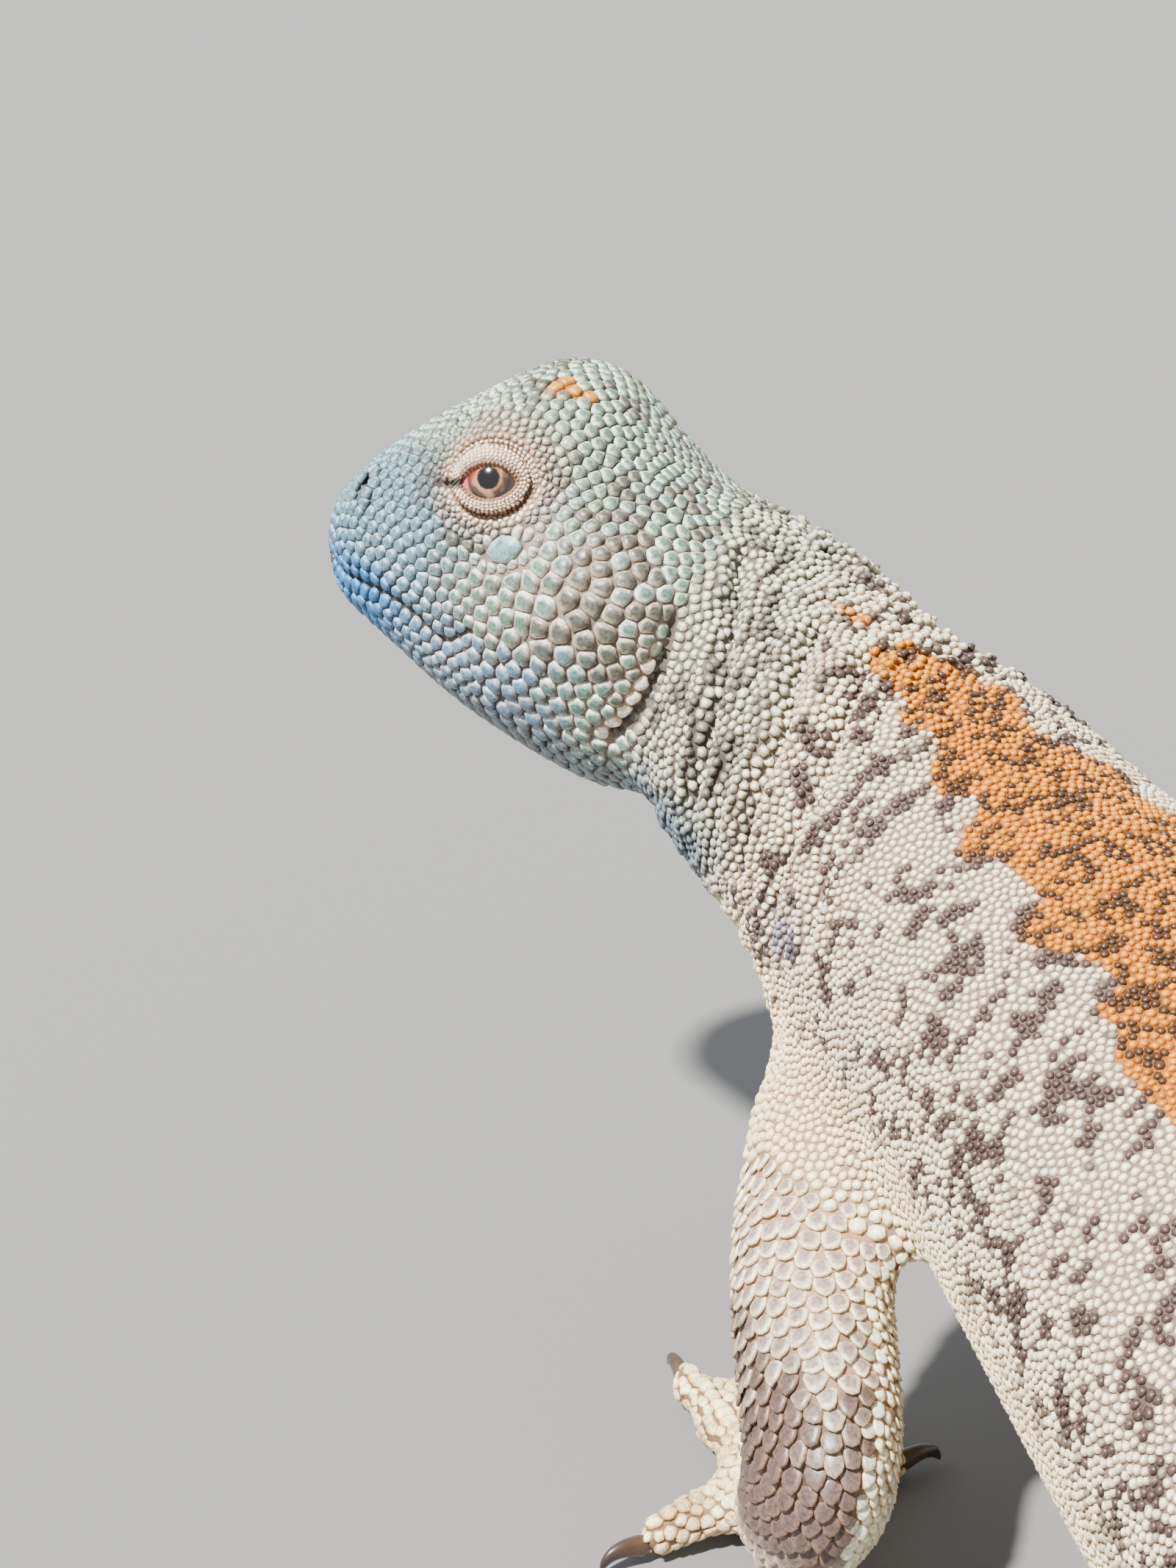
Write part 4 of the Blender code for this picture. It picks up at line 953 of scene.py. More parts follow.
def lidRows(hand):          # rings of small scales round the opening, wider apart outside the crease
    centre, turn = eyeFrame(hand)
    groups = []
    random = np.random.default_rng(eyeLids["rowSeed"])
    for number, (away, apart, uneven) in enumerate(eyeLids["rows"]):
        halfLength, halfHeight, power, aside, above = almond(away / eyeLids["width"])
        angle = np.linspace(0, 2 * math.pi, 400)
        x = aside + halfLength * np.cos(angle)
        y = above + halfHeight * np.sign(np.sin(angle)) * np.abs(np.sin(angle)) ** (2 / power)
        run = np.concatenate([[0], np.cumsum(np.hypot(np.diff(x), np.diff(y)))])
        count = int(run[-1] / apart)
        at = (np.arange(count) + 0.5 * (number % 2)) * run[-1] / count
        flat = np.stack([np.interp(at, run, x), np.interp(at, run, y), np.zeros(count)], 1)
        flat[:, :2] += random.normal(0, 1, (count, 2)) * uneven
        if away > 1.7:
            flat = flat[canthusDistance(flat) > 0.3]
        groups.append((castToSkin(centre + flat @ turn.T, turn[:, 2]), apart, True))
    spots = np.array([(u, v, 0) for u in np.arange(-2.6, 3.0, 0.32) for v in np.arange(-1.6, 1.9, 0.32)])
    spots = spots[lidDistance(spots[:, :2]) < -0.12]
    groups.append((castToSkin(centre + spots @ turn.T, turn[:, 2]), 0.34, False))
    fold = resample([(*place, 0) for place in eyeLids["canthus"]], 0.35)
    groups.append((castToSkin(centre + fold @ turn.T, turn[:, 2]), 0.34, False))
    return groups


toePlates = {"first": 3.4, "every": 1.22, "shortOfTip": 3.7, "size": 1.9}


def toeRows():              # broad plates across the top of each digit
    places = []
    for limb in limbs:
        for palm, tip in digitLines(limb):
            away = unit((tip - palm) * (1, 1, 0))
            reach = np.linalg.norm((tip - palm)[:2]) - toePlates["shortOfTip"]
            for far in np.arange(toePlates["first"], reach, toePlates["every"]):
                top = palm * (1, 1, 0) + away * far
                place, _, _, _ = skinTree.ray_cast((*top[:2], 8.0), (0, 0, -1))
                if place is not None:
                    places.append(np.array(place))
    return np.array(places)


def heldSeeds():            # places, how big each scale is, and whether one grows there
    groups = []
    for hand in (-1, 1):
        groups += [(row[underEye(row, hand, subocular["away"] + 0.5) > 1], size, grow)
                   for row, size, grow in lidRows(hand)]
        groups.append((headLine(mouth["line"], hand, 0.45), mouth["gapSpacing"], False))
        for away in (-1, 1):
            lip = [(side, back, height + away * mouth["lipAway"]) for side, back, height in mouth["line"]]
            groups.append((headLine(lip, hand, mouth["lipSpacing"]), mouth["lipSpacing"], True))
        groups.append((headLine(ear["line"], hand, 0.5), 0.36, False))
        teeth = [(side, back - ear["toothAhead"], height) for side, back, height in ear["line"]]
        groups.append((headLine(teeth, hand, ear["toothSpacing"]), ear["toothSpacing"], True))
        groups.append((headLine(nostril["line"], hand, 0.3), 0.3, False))
        ring = underEyeRing(hand)
        groups.append((ring[:-1], subocular["spacing"], True))
        groups.append((ring[-1:], subocular["size"], True))
    groups.append((toeRows(), toePlates["size"], True))
    points = np.vstack([group for group, _, _ in groups])
    size = np.concatenate([[value] * len(group) for group, value, _ in groups])
    grows = np.concatenate([[value] * len(group) for group, _, value in groups])
    return points, size, grows


heldPlaces, heldSize, heldGrows = heldSeeds()
loose = scatter(heldPlaces, np.minimum(heldSize, seeding["mostClear"]))
for hand in (-1, 1):
    local = eyePlaces(loose, hand)
    onEye = (lidDistance(local[:, :2]) < eyeLids["looseFrom"]) & (np.abs(local[:, 2]) < 5)
    offPlate = (underEye(loose, hand, subocular["away"]) > 1) | (headPlaces(loose)[:, 0] * hand < 0)
    loose = loose[~onEye & offPlate]
seedPoints = np.vstack([heldPlaces, loose])
held = np.arange(len(seedPoints)) < len(heldPlaces)
seedPlaces, seedFaces = settle(seedPoints, held)
seedNormals = unit(fieldAt(seedFaces, body.normals))
seedFlow = unit(fieldAt(seedFaces, flow) + 1e-9)
seedFlow = unit(seedFlow - seedNormals * np.sum(seedFlow * seedNormals, axis=1, keepdims=True))
seedSize = fieldAt(seedFaces, spacing)
seedSize[held] = heldSize
grows = np.ones(len(seedPoints), bool)
grows[held] = heldGrows
grows &= seedPlaces[:, 2] > seeding["lowest"]
seedNode = bodyNode[body.triangles[seedFaces][:, 0]]
print("seeds settled,", len(seedPoints))


def mixed(one, two, share):
    return one + (two - one) * np.reshape(share, (-1, 1))


tones = {
    # middle and edge of a scale, the gap between scales, and its rear edge. On the round beads the middle is
    # lighter than the edge, partly the scale's own colour and partly a painted highlight on its top; the gap,
    # the colour of the bare skin, is partly its own colour and partly painted shade between the scales; the
    # rear edge, mostly darker, is painted shade under the scale's free edge
    "flank": ((252, 250, 240), (234, 228, 216), (180, 166, 152), (214, 204, 190)),
    "flankDark": ((142, 116, 106), (124, 98, 88), (126, 104, 94), (106, 80, 72)),
    "belly": ((254, 252, 240), (246, 240, 224), (192, 176, 158), (234, 222, 202)),
    "orange": ((228, 198, 36), (222, 184, 30), (196, 144, 24), (206, 158, 26)),
    "orangeDark": ((134, 88, 54), (112, 70, 42), (150, 98, 34), (98, 62, 38)),
    "neck": ((242, 246, 238), (222, 222, 210), (144, 132, 118), (194, 190, 176)),
    "neckDark": ((134, 118, 102), (114, 98, 84), (80, 68, 58), (94, 80, 68)),
    "throat": ((186, 198, 204), (150, 162, 170), (98, 102, 108), (134, 146, 156)),
    "cheek": ((160, 182, 168), (246, 248, 242), (186, 176, 164), (176, 162, 148)),
    "cheekShaded": ((128, 136, 118), (232, 228, 218), (170, 156, 144), (92, 74, 62)),
    "crown": ((164, 184, 170), (240, 246, 238), (104, 102, 90), (140, 138, 122)),
    "snout": ((148, 182, 190), (222, 234, 236), (104, 120, 128), (140, 160, 166)),
    "jaw": ((150, 186, 202), (224, 228, 230), (124, 114, 114), (172, 178, 186)),
    "lip": ((92, 164, 198), (140, 200, 222), (58, 94, 114), (92, 146, 174)),
    "headDark": ((122, 110, 94), (206, 198, 184), (100, 88, 76), (92, 76, 64)),
    "eyeSide": ((236, 234, 224), (214, 210, 200), (146, 132, 122), (184, 174, 164)),
    "subocular": ((176, 202, 202), (220, 232, 230), (130, 136, 136), (196, 210, 208)),
    "lid": ((254, 250, 244), (246, 238, 228), (206, 190, 174), (232, 220, 206)),
    "lidRim": ((206, 184, 156), (196, 172, 144), (170, 144, 118), (184, 158, 130)),
    # crease: painted shade, laid in grooves and hollows
    "crease": ((138, 120, 106), (122, 104, 92), (80, 68, 58), (104, 90, 78)),
    "plate": ((204, 192, 186), (252, 246, 234), (206, 184, 164), (250, 242, 228)),
    "plateDark": ((134, 110, 102), (184, 156, 138), (104, 76, 60), (156, 130, 112)),
    "softArm": ((254, 252, 244), (248, 242, 226), (204, 184, 162), (238, 228, 208)),
    "violet": ((160, 170, 196), (150, 160, 188), (110, 116, 140), (130, 140, 166)),
    "toe": ((252, 246, 228), (236, 224, 200), (174, 150, 118), (216, 196, 162)),
    "toeMark": ((214, 202, 178), (238, 226, 200), (160, 136, 104), (196, 174, 140)),
    "tail": ((228, 212, 174), (216, 196, 156), (180, 156, 120), (196, 172, 132)),
    "tailDark": ((172, 144, 108), (152, 124, 90), (112, 88, 62), (128, 102, 74)),
    # painted shade in the nostril's opening
    "nostrilShade": ((140, 104, 98), (124, 88, 82), (84, 58, 52), (110, 76, 70)),
}
tones = {name: np.stack([tone(*value) for value in values]) for name, values in tones.items()}


class Paint:                # the four colours of many places, laid on one after another
    def __init__(self, count, first):
        self.value = np.tile(tones[first], (count, 1, 1))

    def lay(self, name, share):
        self.value += (tones[name] - self.value) * np.reshape(share, (-1, 1, 1))
        return self

    def over(self, other, share):
        self.value += (other.value - self.value) * np.reshape(share, (-1, 1, 1))
        return self


marks = {
    # size of the random fields in millimetres, and how much longer they run across the body than along it
    "streak": 0.90, "streakShape": (1.6, 0.85, 1.6), "streakFrom": 0.63,
    "worm": 1.15, "wormShape": (1.35, 0.9, 1.35), "wormWidth": 0.10,
    "edgeCloud": 3.0, "edgeSwing": 30, "drift": 9, "paleShoulder": 0.08,
}


def trunkPaint(points, turn, roll):
    y = points[:, 1]
    paint = Paint(len(points), "flank")
    drift = (Cloud(7, marks["drift"])(points) - 0.5) * 0.16
    streak = Cloud(3, marks["streak"], marks["streakShape"])(points) + (roll - 0.5) * 0.26 + drift
    streak -= marks["paleShoulder"] * dent(np.linalg.norm(points - (17, 2, 46), axis=1), 0, 9)
    paint.lay("flankDark", ramp(streak, marks["streakFrom"], marks["streakFrom"] + 0.05) * ramp(y, 118, 110))
    paint.lay("belly", ramp(np.abs(turn), 92, 110))
    edgeLine = np.array(trunk["bandEdge"], float)
    edge = np.interp(y, edgeLine[:, 0], edgeLine[:, 1])
    edge = edge + (Cloud(6, marks["edgeCloud"])(points) - 0.5) * marks["edgeSwing"]
    band = Paint(len(points), "orange")
    worms = np.abs(Cloud(5, marks["worm"], marks["wormShape"])(points) - 0.5)
    worms = worms - (roll - 0.5) * 0.05 - drift * 0.3
    band.lay("orangeDark", ramp(worms, marks["wormWidth"], marks["wormWidth"] - 0.03))
    onBand = ramp(edge - np.abs(turn), -1, 1) * ramp(y, -22, -17)
    return paint.over(band, onBand)


def headPaint(points, roll):
    place = headPlaces(points)
    back, height = place[:, 1], place[:, 2]
    fine, soft = Cloud(4, 1.5)(points), Cloud(9, 4.0)(points)
    paint = Paint(len(points), "cheek")
    paint.lay("cheekShaded", ramp(roll + (fine - 0.5) * 0.8, 0.42, 0.54) * ramp(back, 21, 25)
              * ramp(height, -6, -2))
    paint.lay("crown", ramp(height + (soft - 0.5) * 4, 6, 11))
    paint.lay("snout", ramp(height, 11, 6) * ramp(back, 19, 11))
    paint.lay("jaw", 0.9 * ramp(height + (soft - 0.5) * 6 + (roll - 0.5) * 4, 1, -5) * ramp(back, 31, 24))
    paint.lay("lip", ramp(height + (soft - 0.5) * 3, -1.8, -3.6) * ramp(back, 15, 7))
    paint.lay("lip", 0.35 * ramp(height, 3, -1) * ramp(back, 9, 4))
    paint.lay("throat", 0.8 * ramp(height, -6.5, -9))
    dark = ramp(fine + (roll - 0.5) * 0.7 + 0.06 * ramp(height, 8, 13), 0.62, 0.80) * ramp(back, 9, 15)
    paint.lay("headDark", dark * (0.35 + 0.5 * ramp(height, 4, 11)))
    orange = np.linalg.norm((place - (5.3, 17.9, 16.0)) / (1.5, 2.2, 4.0), axis=1)
    paint.lay("orange", 0.95 * ramp(orange + (roll - 0.5) * 0.5, 1.0, 0.7))
    for hand in (-1, 1):
        local = eyePlaces(points, hand)
        outside = lidDistance(local[:, :2])
        near = (local[:, 2] > -1.5) & (np.linalg.norm(local, axis=1) < 10)
        above = ramp(local[:, 1], -0.3, 0.7)
        paint.lay("eyeSide", 0.8 * near * ramp(outside + (roll - 0.5) * 1.2, 4.8, 3.2))
        paint.lay("headDark", 0.5 * near * ramp(roll, 0.72, 0.8) * ramp(outside, 2.4, 2.6)
                  * ramp(outside, 5.6, 4.6))
        paint.lay("lid", near * ramp(outside, 2.5, 2.2))
        paint.lay("lidRim", near * np.maximum(
            ramp(outside, 0.26, 0.2), ramp(outside, 1.0, 1.15) * ramp(outside, 1.7, 1.6) * (1 - above)))
        paint.lay("headDark", 0.7 * near * dent(outside, 0.38, 0.08) * above * ramp(roll, 0.3, 0.5))
        paint.lay("lidRim", 0.7 * near * dent(outside, 2.1, 0.3) * above)
        # painted shade in the lid crease, stronger on the upper side, and along the fold from the eye's front
        # corner
        paint.lay("crease", (0.4 + 0.4 * above) * near * dent(outside, eyeLids["crease"] + 0.06, 0.13))
        paint.lay("crease", 0.9 * near * ramp(canthusDistance(local), 0.55, 0.3))
        # painted shade in the hollows before and below the eye
        hollow = np.linalg.norm((place * (hand, 1, 1) - (8.2, 10.0, 6.6)) / (2.0, 1.3, 3.0), axis=1)
        paint.lay("crease", 0.6 * ramp(hollow, 1.3, 0.5))
        hollow = np.linalg.norm((place * (hand, 1, 1) - (12.2, 14.6, 4.4)) / (2.0, 2.6, 0.7), axis=1)
        paint.lay("crease", 0.7 * ramp(hollow, 1.2, 0.6))
        paint.lay("subocular", 0.95 * near * ramp(underEye(points, hand, 0), 0.8, 0.6))
        # painted shade inside the nostril
        paint.lay("nostrilShade", ramp(besideLine(place, hand, nostril["line"]), 0.45, 0.25))
        # painted shade in the grooves of the mouth and the ear
        paint.lay("crease", 0.9 * ramp(besideLine(place, hand, mouth["line"]), 0.5, 0.25))
        paint.lay("crease", 0.85 * ramp(besideLine(place, hand, ear["line"]), 0.6, 0.3))
        teeth = [(side, spot - ear["toothAhead"], up) for side, spot, up in ear["line"]]
        paint.lay("lid", 0.9 * ramp(besideLine(place, hand, teeth), 0.3, 0.15) * ramp(height, 4, 0))
    return paint


def neckPaint(points, roll):
    place = headPlaces(points)
    paint = Paint(len(points), "neck")
    streak = Cloud(3, 1.3, marks["streakShape"])(points) + (roll - 0.5) * 0.3
    paint.lay("neckDark", 0.8 * ramp(streak, 0.60, 0.74))
    return paint.lay("throat", ramp(place[:, 2], -4, -9))


def limbPaint(points, normals, roll, front, hand):
    fine = Cloud(4, 1.6)(points) + (roll - 0.5) * 0.3
    paint = Paint(len(points), "plate")
    height = points[:, 2] + (fine - 0.5) * 8
    dark = 0.95 * ramp(height, 27.5, 19.5) * ramp(points[:, 2], 8, 12) if front else 0.5 * fine
    paint.lay("plateDark", dark)
    soft = ramp(armZone(normals, hand) + (roll - 0.5) * 0.3, 0.62, 0.12)
    return paint.lay("softArm", soft * (0.9 if front else 0.7))


def toePaint(points, roll):
    paint = Paint(len(points), "toe")
    return paint.lay("toeMark", 0.7 * ramp(Cloud(4, 1.5)(points) + (roll - 0.5) * 0.3, 0.56, 0.70))


def startsWith(names, starts):
    return np.any([np.char.startswith(names, start) for start in starts], axis=0)


def colourOf(points, normals, part, roll):      # four colours of a scale there; roll is its own luck
    names = np.array(fleshAndTail)[part]
    _, turn = trunkPlaces(points)
    back = headPlaces(points)[:, 1]
    paint = trunkPaint(points, turn, roll)
    onBand = ramp(np.abs(turn), 26, 10) * ramp(back, 42, 47)
    paint.over(neckPaint(points, roll), ramp(back, 47, 41) * (points[:, 1] < 0) * (1 - 0.85 * onBand))
    onHeadPart = startsWith(names, ("head", "neck"))
    paint.over(headPaint(points, roll), ramp(back, 34.6, 33) * onHeadPart)
    paint.lay("violet", 0.8 * dent(np.linalg.norm(points - (16.4, -1.6, 46.0), axis=1), 0, 2.0))
    paint.lay("violet", 0.2 * dent(np.linalg.norm(points - (18.2, 9.0, 42.2), axis=1), 0, 2.6))
    for end, starts in limbParts.items():
        for start in starts[:2]:
            for side, hand in (("left", 1), ("right", -1)):
                own = names == f"{start}_{side}"
                paint.value[own] = limbPaint(points[own], normals[own], roll[own], end == "front", hand).value
    own = startsWith(names, ("hand", "foot"))
    paint.value[own] = toePaint(points[own], roll[own]).value
    own = startsWith(names, ("tail",))
    tailPaint = Paint(own.sum(), "tail").lay("tailDark", 0.6 * ramp(Cloud(3, 3.0)(points[own]), 0.5, 0.7))
    tailShare = ramp(points[own, 1] + 8 * Cloud(6, 3.0)(points[own]), 114, 124)
    paint.value[own] += (tailPaint.value - paint.value[own]) * tailShare[:, None, None]
    return paint.value * (0.90 + 0.2 * roll)[:, None, None]


roll = np.random.default_rng(21).random(len(seedPoints))
seedTints = colourOf(seedPlaces, seedNormals, seedNode, roll)


def atlasOf(points, part):  # an unwrap of the skin's own shape: along by around, one place for each root
    y, turn = trunkPlaces(points)
    names = np.array(fleshAndTail)[part]
    place = headPlaces(points)
    u = turn / 360 + 0.5
    v = (y + 40) / 320
    chosen = names == "head"
    angle = np.degrees(np.arctan2(place[:, 0], place[:, 2])) / 360 + 0.5
    u, v = np.where(chosen, angle, u), np.where(chosen, (place[:, 1] + 2) / 45, v)
    for (hand, end), line in limbs.items():
        for number, start in enumerate(limbParts[end]):
            chosen = names == f"{start}_{hand}"
            middle = np.asarray(line, float)
            share, direction, _ = nearestOnLine(points, middle)
            nearest = np.stack([np.interp(share * (len(line) - 1), np.arange(len(line)), middle[:, axis])
                                for axis in range(3)], 1)
            away = points - nearest
            left = unit(np.cross(direction, (0, 0, 1)) + 1e-9)
            up = np.cross(left, direction)
            round_ = np.degrees(np.arctan2(np.sum(away * left, 1), np.sum(away * up, 1))) / 360 + 0.5
            u, v = np.where(chosen, round_, u), np.where(chosen, share, v)
            if number == 2 and chosen.any():
                low, high = points[chosen].min(axis=0), points[chosen].max(axis=0)
                flat = (points - low) / (high - low)
                u = np.where(chosen, 0.5 * flat[:, 0] + np.where(flat[:, 2] > 0.3, 0, 0.5), u)
                v = np.where(chosen, flat[:, 1], v)
    return np.stack([0.02 + 0.96 * u, 0.02 + 0.96 * np.clip(v, 0, 1)], 1)


coatPieces = {
    "head_scales": ("head",), "neck_scales": ("neck",), "trunk_scales": ("torso",),
    "arm_scales": ("upper_arm", "forearm"), "leg_scales": ("thigh", "shin"), "foot_scales": ("hand", "foot"),
    "tail_scales": ("tail",),
}
coatLimit = 180000          # triangles in one piece
lowest = 0.02               # no point of a piece lies lower than this over the floor
patch = 0.0014              # half the size of a scale's place on the unwrap
trianglesEach = {kind: shape["around"] * (2 * len(shape["rings"])) - 2 for kind, shape in scaleShapes.items()}


def formOf():               # the numbers of relief for every seed, the height for each one's own size
    form = np.array([next(value for start, value in relief.items() if name.startswith(start))
                     for name in fleshAndTail])[seedNode]
    form[:, 0] *= np.minimum(seedSize, scaleFit["tallest"]) ** scaleFit["heightPower"]
    return form


def makeCoat():
    everywhere = formOf()
    reachOf = {kind: rimReach(seedPlaces, seedNormals, seedFlow, seedSize, shape["around"], everywhere[:, 3],
                              everywhere[:, 4]) for kind, shape in scaleShapes.items()}
    home = atlasOf(seedPlaces, seedNode)
    names = np.array(fleshAndTail)[seedNode]
    mayBePlate = startsWith(names, scaleFit["plateParts"])
    kinds = np.where(mayBePlate & (seedSize > scaleFit["plateFrom"]), "plate", "bead")
    cost = np.where(kinds == "plate", trianglesEach["plate"], trianglesEach["bead"])
    made = []
    for piece, parts in coatPieces.items():
        chosen = np.flatnonzero(grows & startsWith(names, parts))
        chosen = chosen[np.argsort(seedPlaces[chosen, 1])]
        run = np.cumsum(cost[chosen])
        shares = math.ceil(run[-1] / coatLimit)
        for number in range(shares):
            group = chosen[(run > run[-1] * number / shares) & (run <= run[-1] * (number + 1) / shares)]
            built = []
            for kind, shape in scaleShapes.items():
                own = group[kinds[group] == kind]
                if len(own):
                    points, triangles, colours, spots = scaleMesh(
                        shape, seedPlaces[own], seedNormals[own], seedFlow[own], reachOf[kind][own],
                        everywhere[own], seedTints[own])
                    atlas = np.repeat(home[own], len(points) // len(own), axis=0) + spots * patch
                    built.append((points, triangles + sum(len(p) for p, _, _, _ in built), colours, atlas))
            points, triangles, colours, atlas = (np.vstack(part) for part in zip(*built))
            points[:, 2] = np.maximum(points[:, 2], lowest)
            name = piece if shares == 1 else f"{piece}_{number + 1}"
            made.append((triangleObject(name, points, triangles, colours, atlas), piece))
    return made


coat = makeCoat()
print("scales made,", sum(len(o.data.polygons) for o, _ in coat), "triangles in", len(coat), "pieces")

# The skin itself, written back at its place in the frame
bpy.data.objects.remove(skinObject)
bareTints = colourOf(body.points, body.normals, bodyNode, np.full(len(body.points), 0.5))
body.points[:, 2] = np.maximum(body.points[:, 2], 0.05)
# The bare skin wears the gap colour: partly its own colour, partly painted shade between the scales
skinObject = triangleObject("skin", body.points, body.triangles, bareTints[:, 2])


# Materials, through a small wrapper round the node sockets
class Socket:
    def __init__(self, tree, link):
        self.tree, self.link = tree, link

    def node(self, kind, settings, values):
        return addNode(self.tree, kind, settings, values)

    def maths(self, operation, other, swapped=False):
        pair = (other, self) if swapped else (self, other)
        return self.node("ShaderNodeMath", {"operation": operation}, dict(enumerate(pair)))

    def __add__(self, other):
        return self.maths("ADD", other)

    def __radd__(self, other):
        return self.maths("ADD", other, True)

    def __sub__(self, other):
        return self.maths("SUBTRACT", other)

    def __rsub__(self, other):
        return self.maths("SUBTRACT", other, True)

    def __mul__(self, other):
        return self.maths("MULTIPLY", other)

    def __rmul__(self, other):
        return self.maths("MULTIPLY", other, True)


def addNode(tree, kind, settings, values, output=0):
    node = tree.nodes.new(kind)
    for key, value in settings.items():
        setattr(node, key, value)
    for key, value in values.items():
        if isinstance(value, Socket):
            tree.links.new(value.link, node.inputs[key])
        else:
            node.inputs[key].default_value = value
    return Socket(tree, node.outputs[output])


class Finish:               # a material whose Principled sockets take values or Socket results
    def __init__(self, name):
        self.material = bpy.data.materials.new(name)
        self.material.use_nodes = True
        self.tree = self.material.node_tree
        self.shader = next(n for n in self.tree.nodes if n.type == "BSDF_PRINCIPLED")

    def node(self, kind, settings=None, values=None, output=0):
        return addNode(self.tree, kind, settings or {}, values or {}, output)

    def tint(self):
        return self.node("ShaderNodeAttribute", {"attribute_name": "tint"}, {}, "Color")

    def noise(self, scale, detail):
        place = self.node("ShaderNodeTexCoord", {}, {}, "Object")
        return self.node("ShaderNodeTexNoise", {}, {"Vector": place, "Scale": scale, "Detail": detail})

    def shaded(self, colour, share):
        return self.node("ShaderNodeMix", {"data_type": "RGBA", "blend_type": "MULTIPLY"},
                         {0: 1.0, 6: colour, 7: share}, 2)

    def set(self, **sockets):
        for name, value in sockets.items():
            socket = self.shader.inputs[{"colour": "Base Color", "roughness": "Roughness", "normal": "Normal",
                                         "coat": "Coat Weight"}.get(name, name)]
            if isinstance(value, Socket):
                self.tree.links.new(value.link, socket)
            else:
                socket.default_value = value
        return self.material


def scaleFinish(name, roughness, flecks):
    finish = Finish(name)
    grain = finish.noise(3600.0, 3.0)
    spots = finish.node("ShaderNodeMapRange", {}, {"Value": grain, "From Min": 0.36, "From Max": 0.56,
                                                   "To Min": 1 - flecks, "To Max": 1.04})
    cloudy = finish.noise(700.0, 2.0)
    colour = finish.shaded(finish.tint(), spots * (cloudy * 0.24 + 0.88))
    bump = finish.node("ShaderNodeBump", {}, {"Height": grain, "Strength": 0.35, "Distance": 0.00005})
    return finish.set(colour=colour, roughness=grain * 0.2 + (roughness - 0.1), normal=bump)


scaleMaterial = scaleFinish("scaleHorn", 0.38, 0.38)
skinMaterial = scaleFinish("bareSkin", 0.68, 0.25)
for piece, kind in coat:
    piece.data.materials.append(scaleMaterial)
skinObject.data.materials.append(skinMaterial)


# Eyes: a wet ball with an iris, and a pink caruncle in the front corner of the lids
eyeLook = {"pupil": 0.90, "iris": 1.62, "gaze": (0.34, 0.46)}


def makeEye(hand, name):
    centre, turn = eyeFrame(hand)
    work = bmesh.new()
    bmesh.ops.create_icosphere(work, subdivisions=6, radius=head["eyeRadius"])
    points = np.array([v.co for v in work.verts])
    triangles = np.array([[v.index for v in f.verts] for f in work.faces])
    work.free()
    around = points[:, :2] - eyeLook["gaze"]
    away = np.hypot(*around.T)
    angle = np.arctan2(around[:, 1], around[:, 0])
    rays = Cloud(31, 1.0)(np.column_stack([angle * 9 / math.pi, away * 2.0, np.zeros(len(points))]))
    iris = mixed(np.tile(tone(196, 172, 142), (len(points), 1)), tone(104, 80, 62), ramp(rays, 0.38, 0.66))
    iris = mixed(iris, tone(74, 58, 48), ramp(-around[:, 0] - 0.4 * around[:, 1], 0.5, 1.3) * 0.8)
    iris = mixed(iris, tone(176, 54, 44), ramp(around[:, 1] + 0.7 * around[:, 0], 0.5, 1.2) * 0.9)
    iris = mixed(iris, tone(214, 186, 152), dent(away, eyeLook["pupil"] + 0.12, 0.10) * 0.6)
    white = mixed(np.tile(tone(96, 72, 60), (len(points), 1)), tone(214, 158, 150),
                  ramp(points[:, 0], 1.4, 2.2))
    colour = mixed(white, tone(46, 30, 24), dent(away, eyeLook["iris"], 0.12))
    colour = mixed(colour, iris, ramp(away, eyeLook["iris"], eyeLook["iris"] - 0.12))
    colour = mixed(colour, tone(6, 5, 6), ramp(away, eyeLook["pupil"] + 0.04, eyeLook["pupil"] - 0.04))
    colour = mixed(colour, tone(40, 26, 22), ramp(points[:, 2], 1.6, 1.0))
    return triangleObject(name, centre + points @ turn.T, triangles[:, ::hand], colour)


eyeFinish = Finish("wetEye")
eyeMaterial = eyeFinish.set(colour=eyeFinish.tint(), roughness=0.1, coat=0.35)
eyes = []
for hand, name, node in ((1, "left_eye", "eye_left"), (-1, "right_eye", "eye_right")):
    eye = makeEye(hand, name)
    eye.data.materials.append(eyeMaterial)
    eyes.append((eye, node))

# Claws: the solids' own curve again with a round section, each root a little way into its toe
claw = {"length": 3.2, "radius": 0.8, "tipRadius": 0.14, "slimness": 0.72, "bend": 48, "arch": 0.12,
        "drop": 0.30, "rootHeight": 1.45, "gap": 0.05, "rings": 14, "around": 18, "into": 0.30, "curl": 1.35,
        "lowest": 0.06}


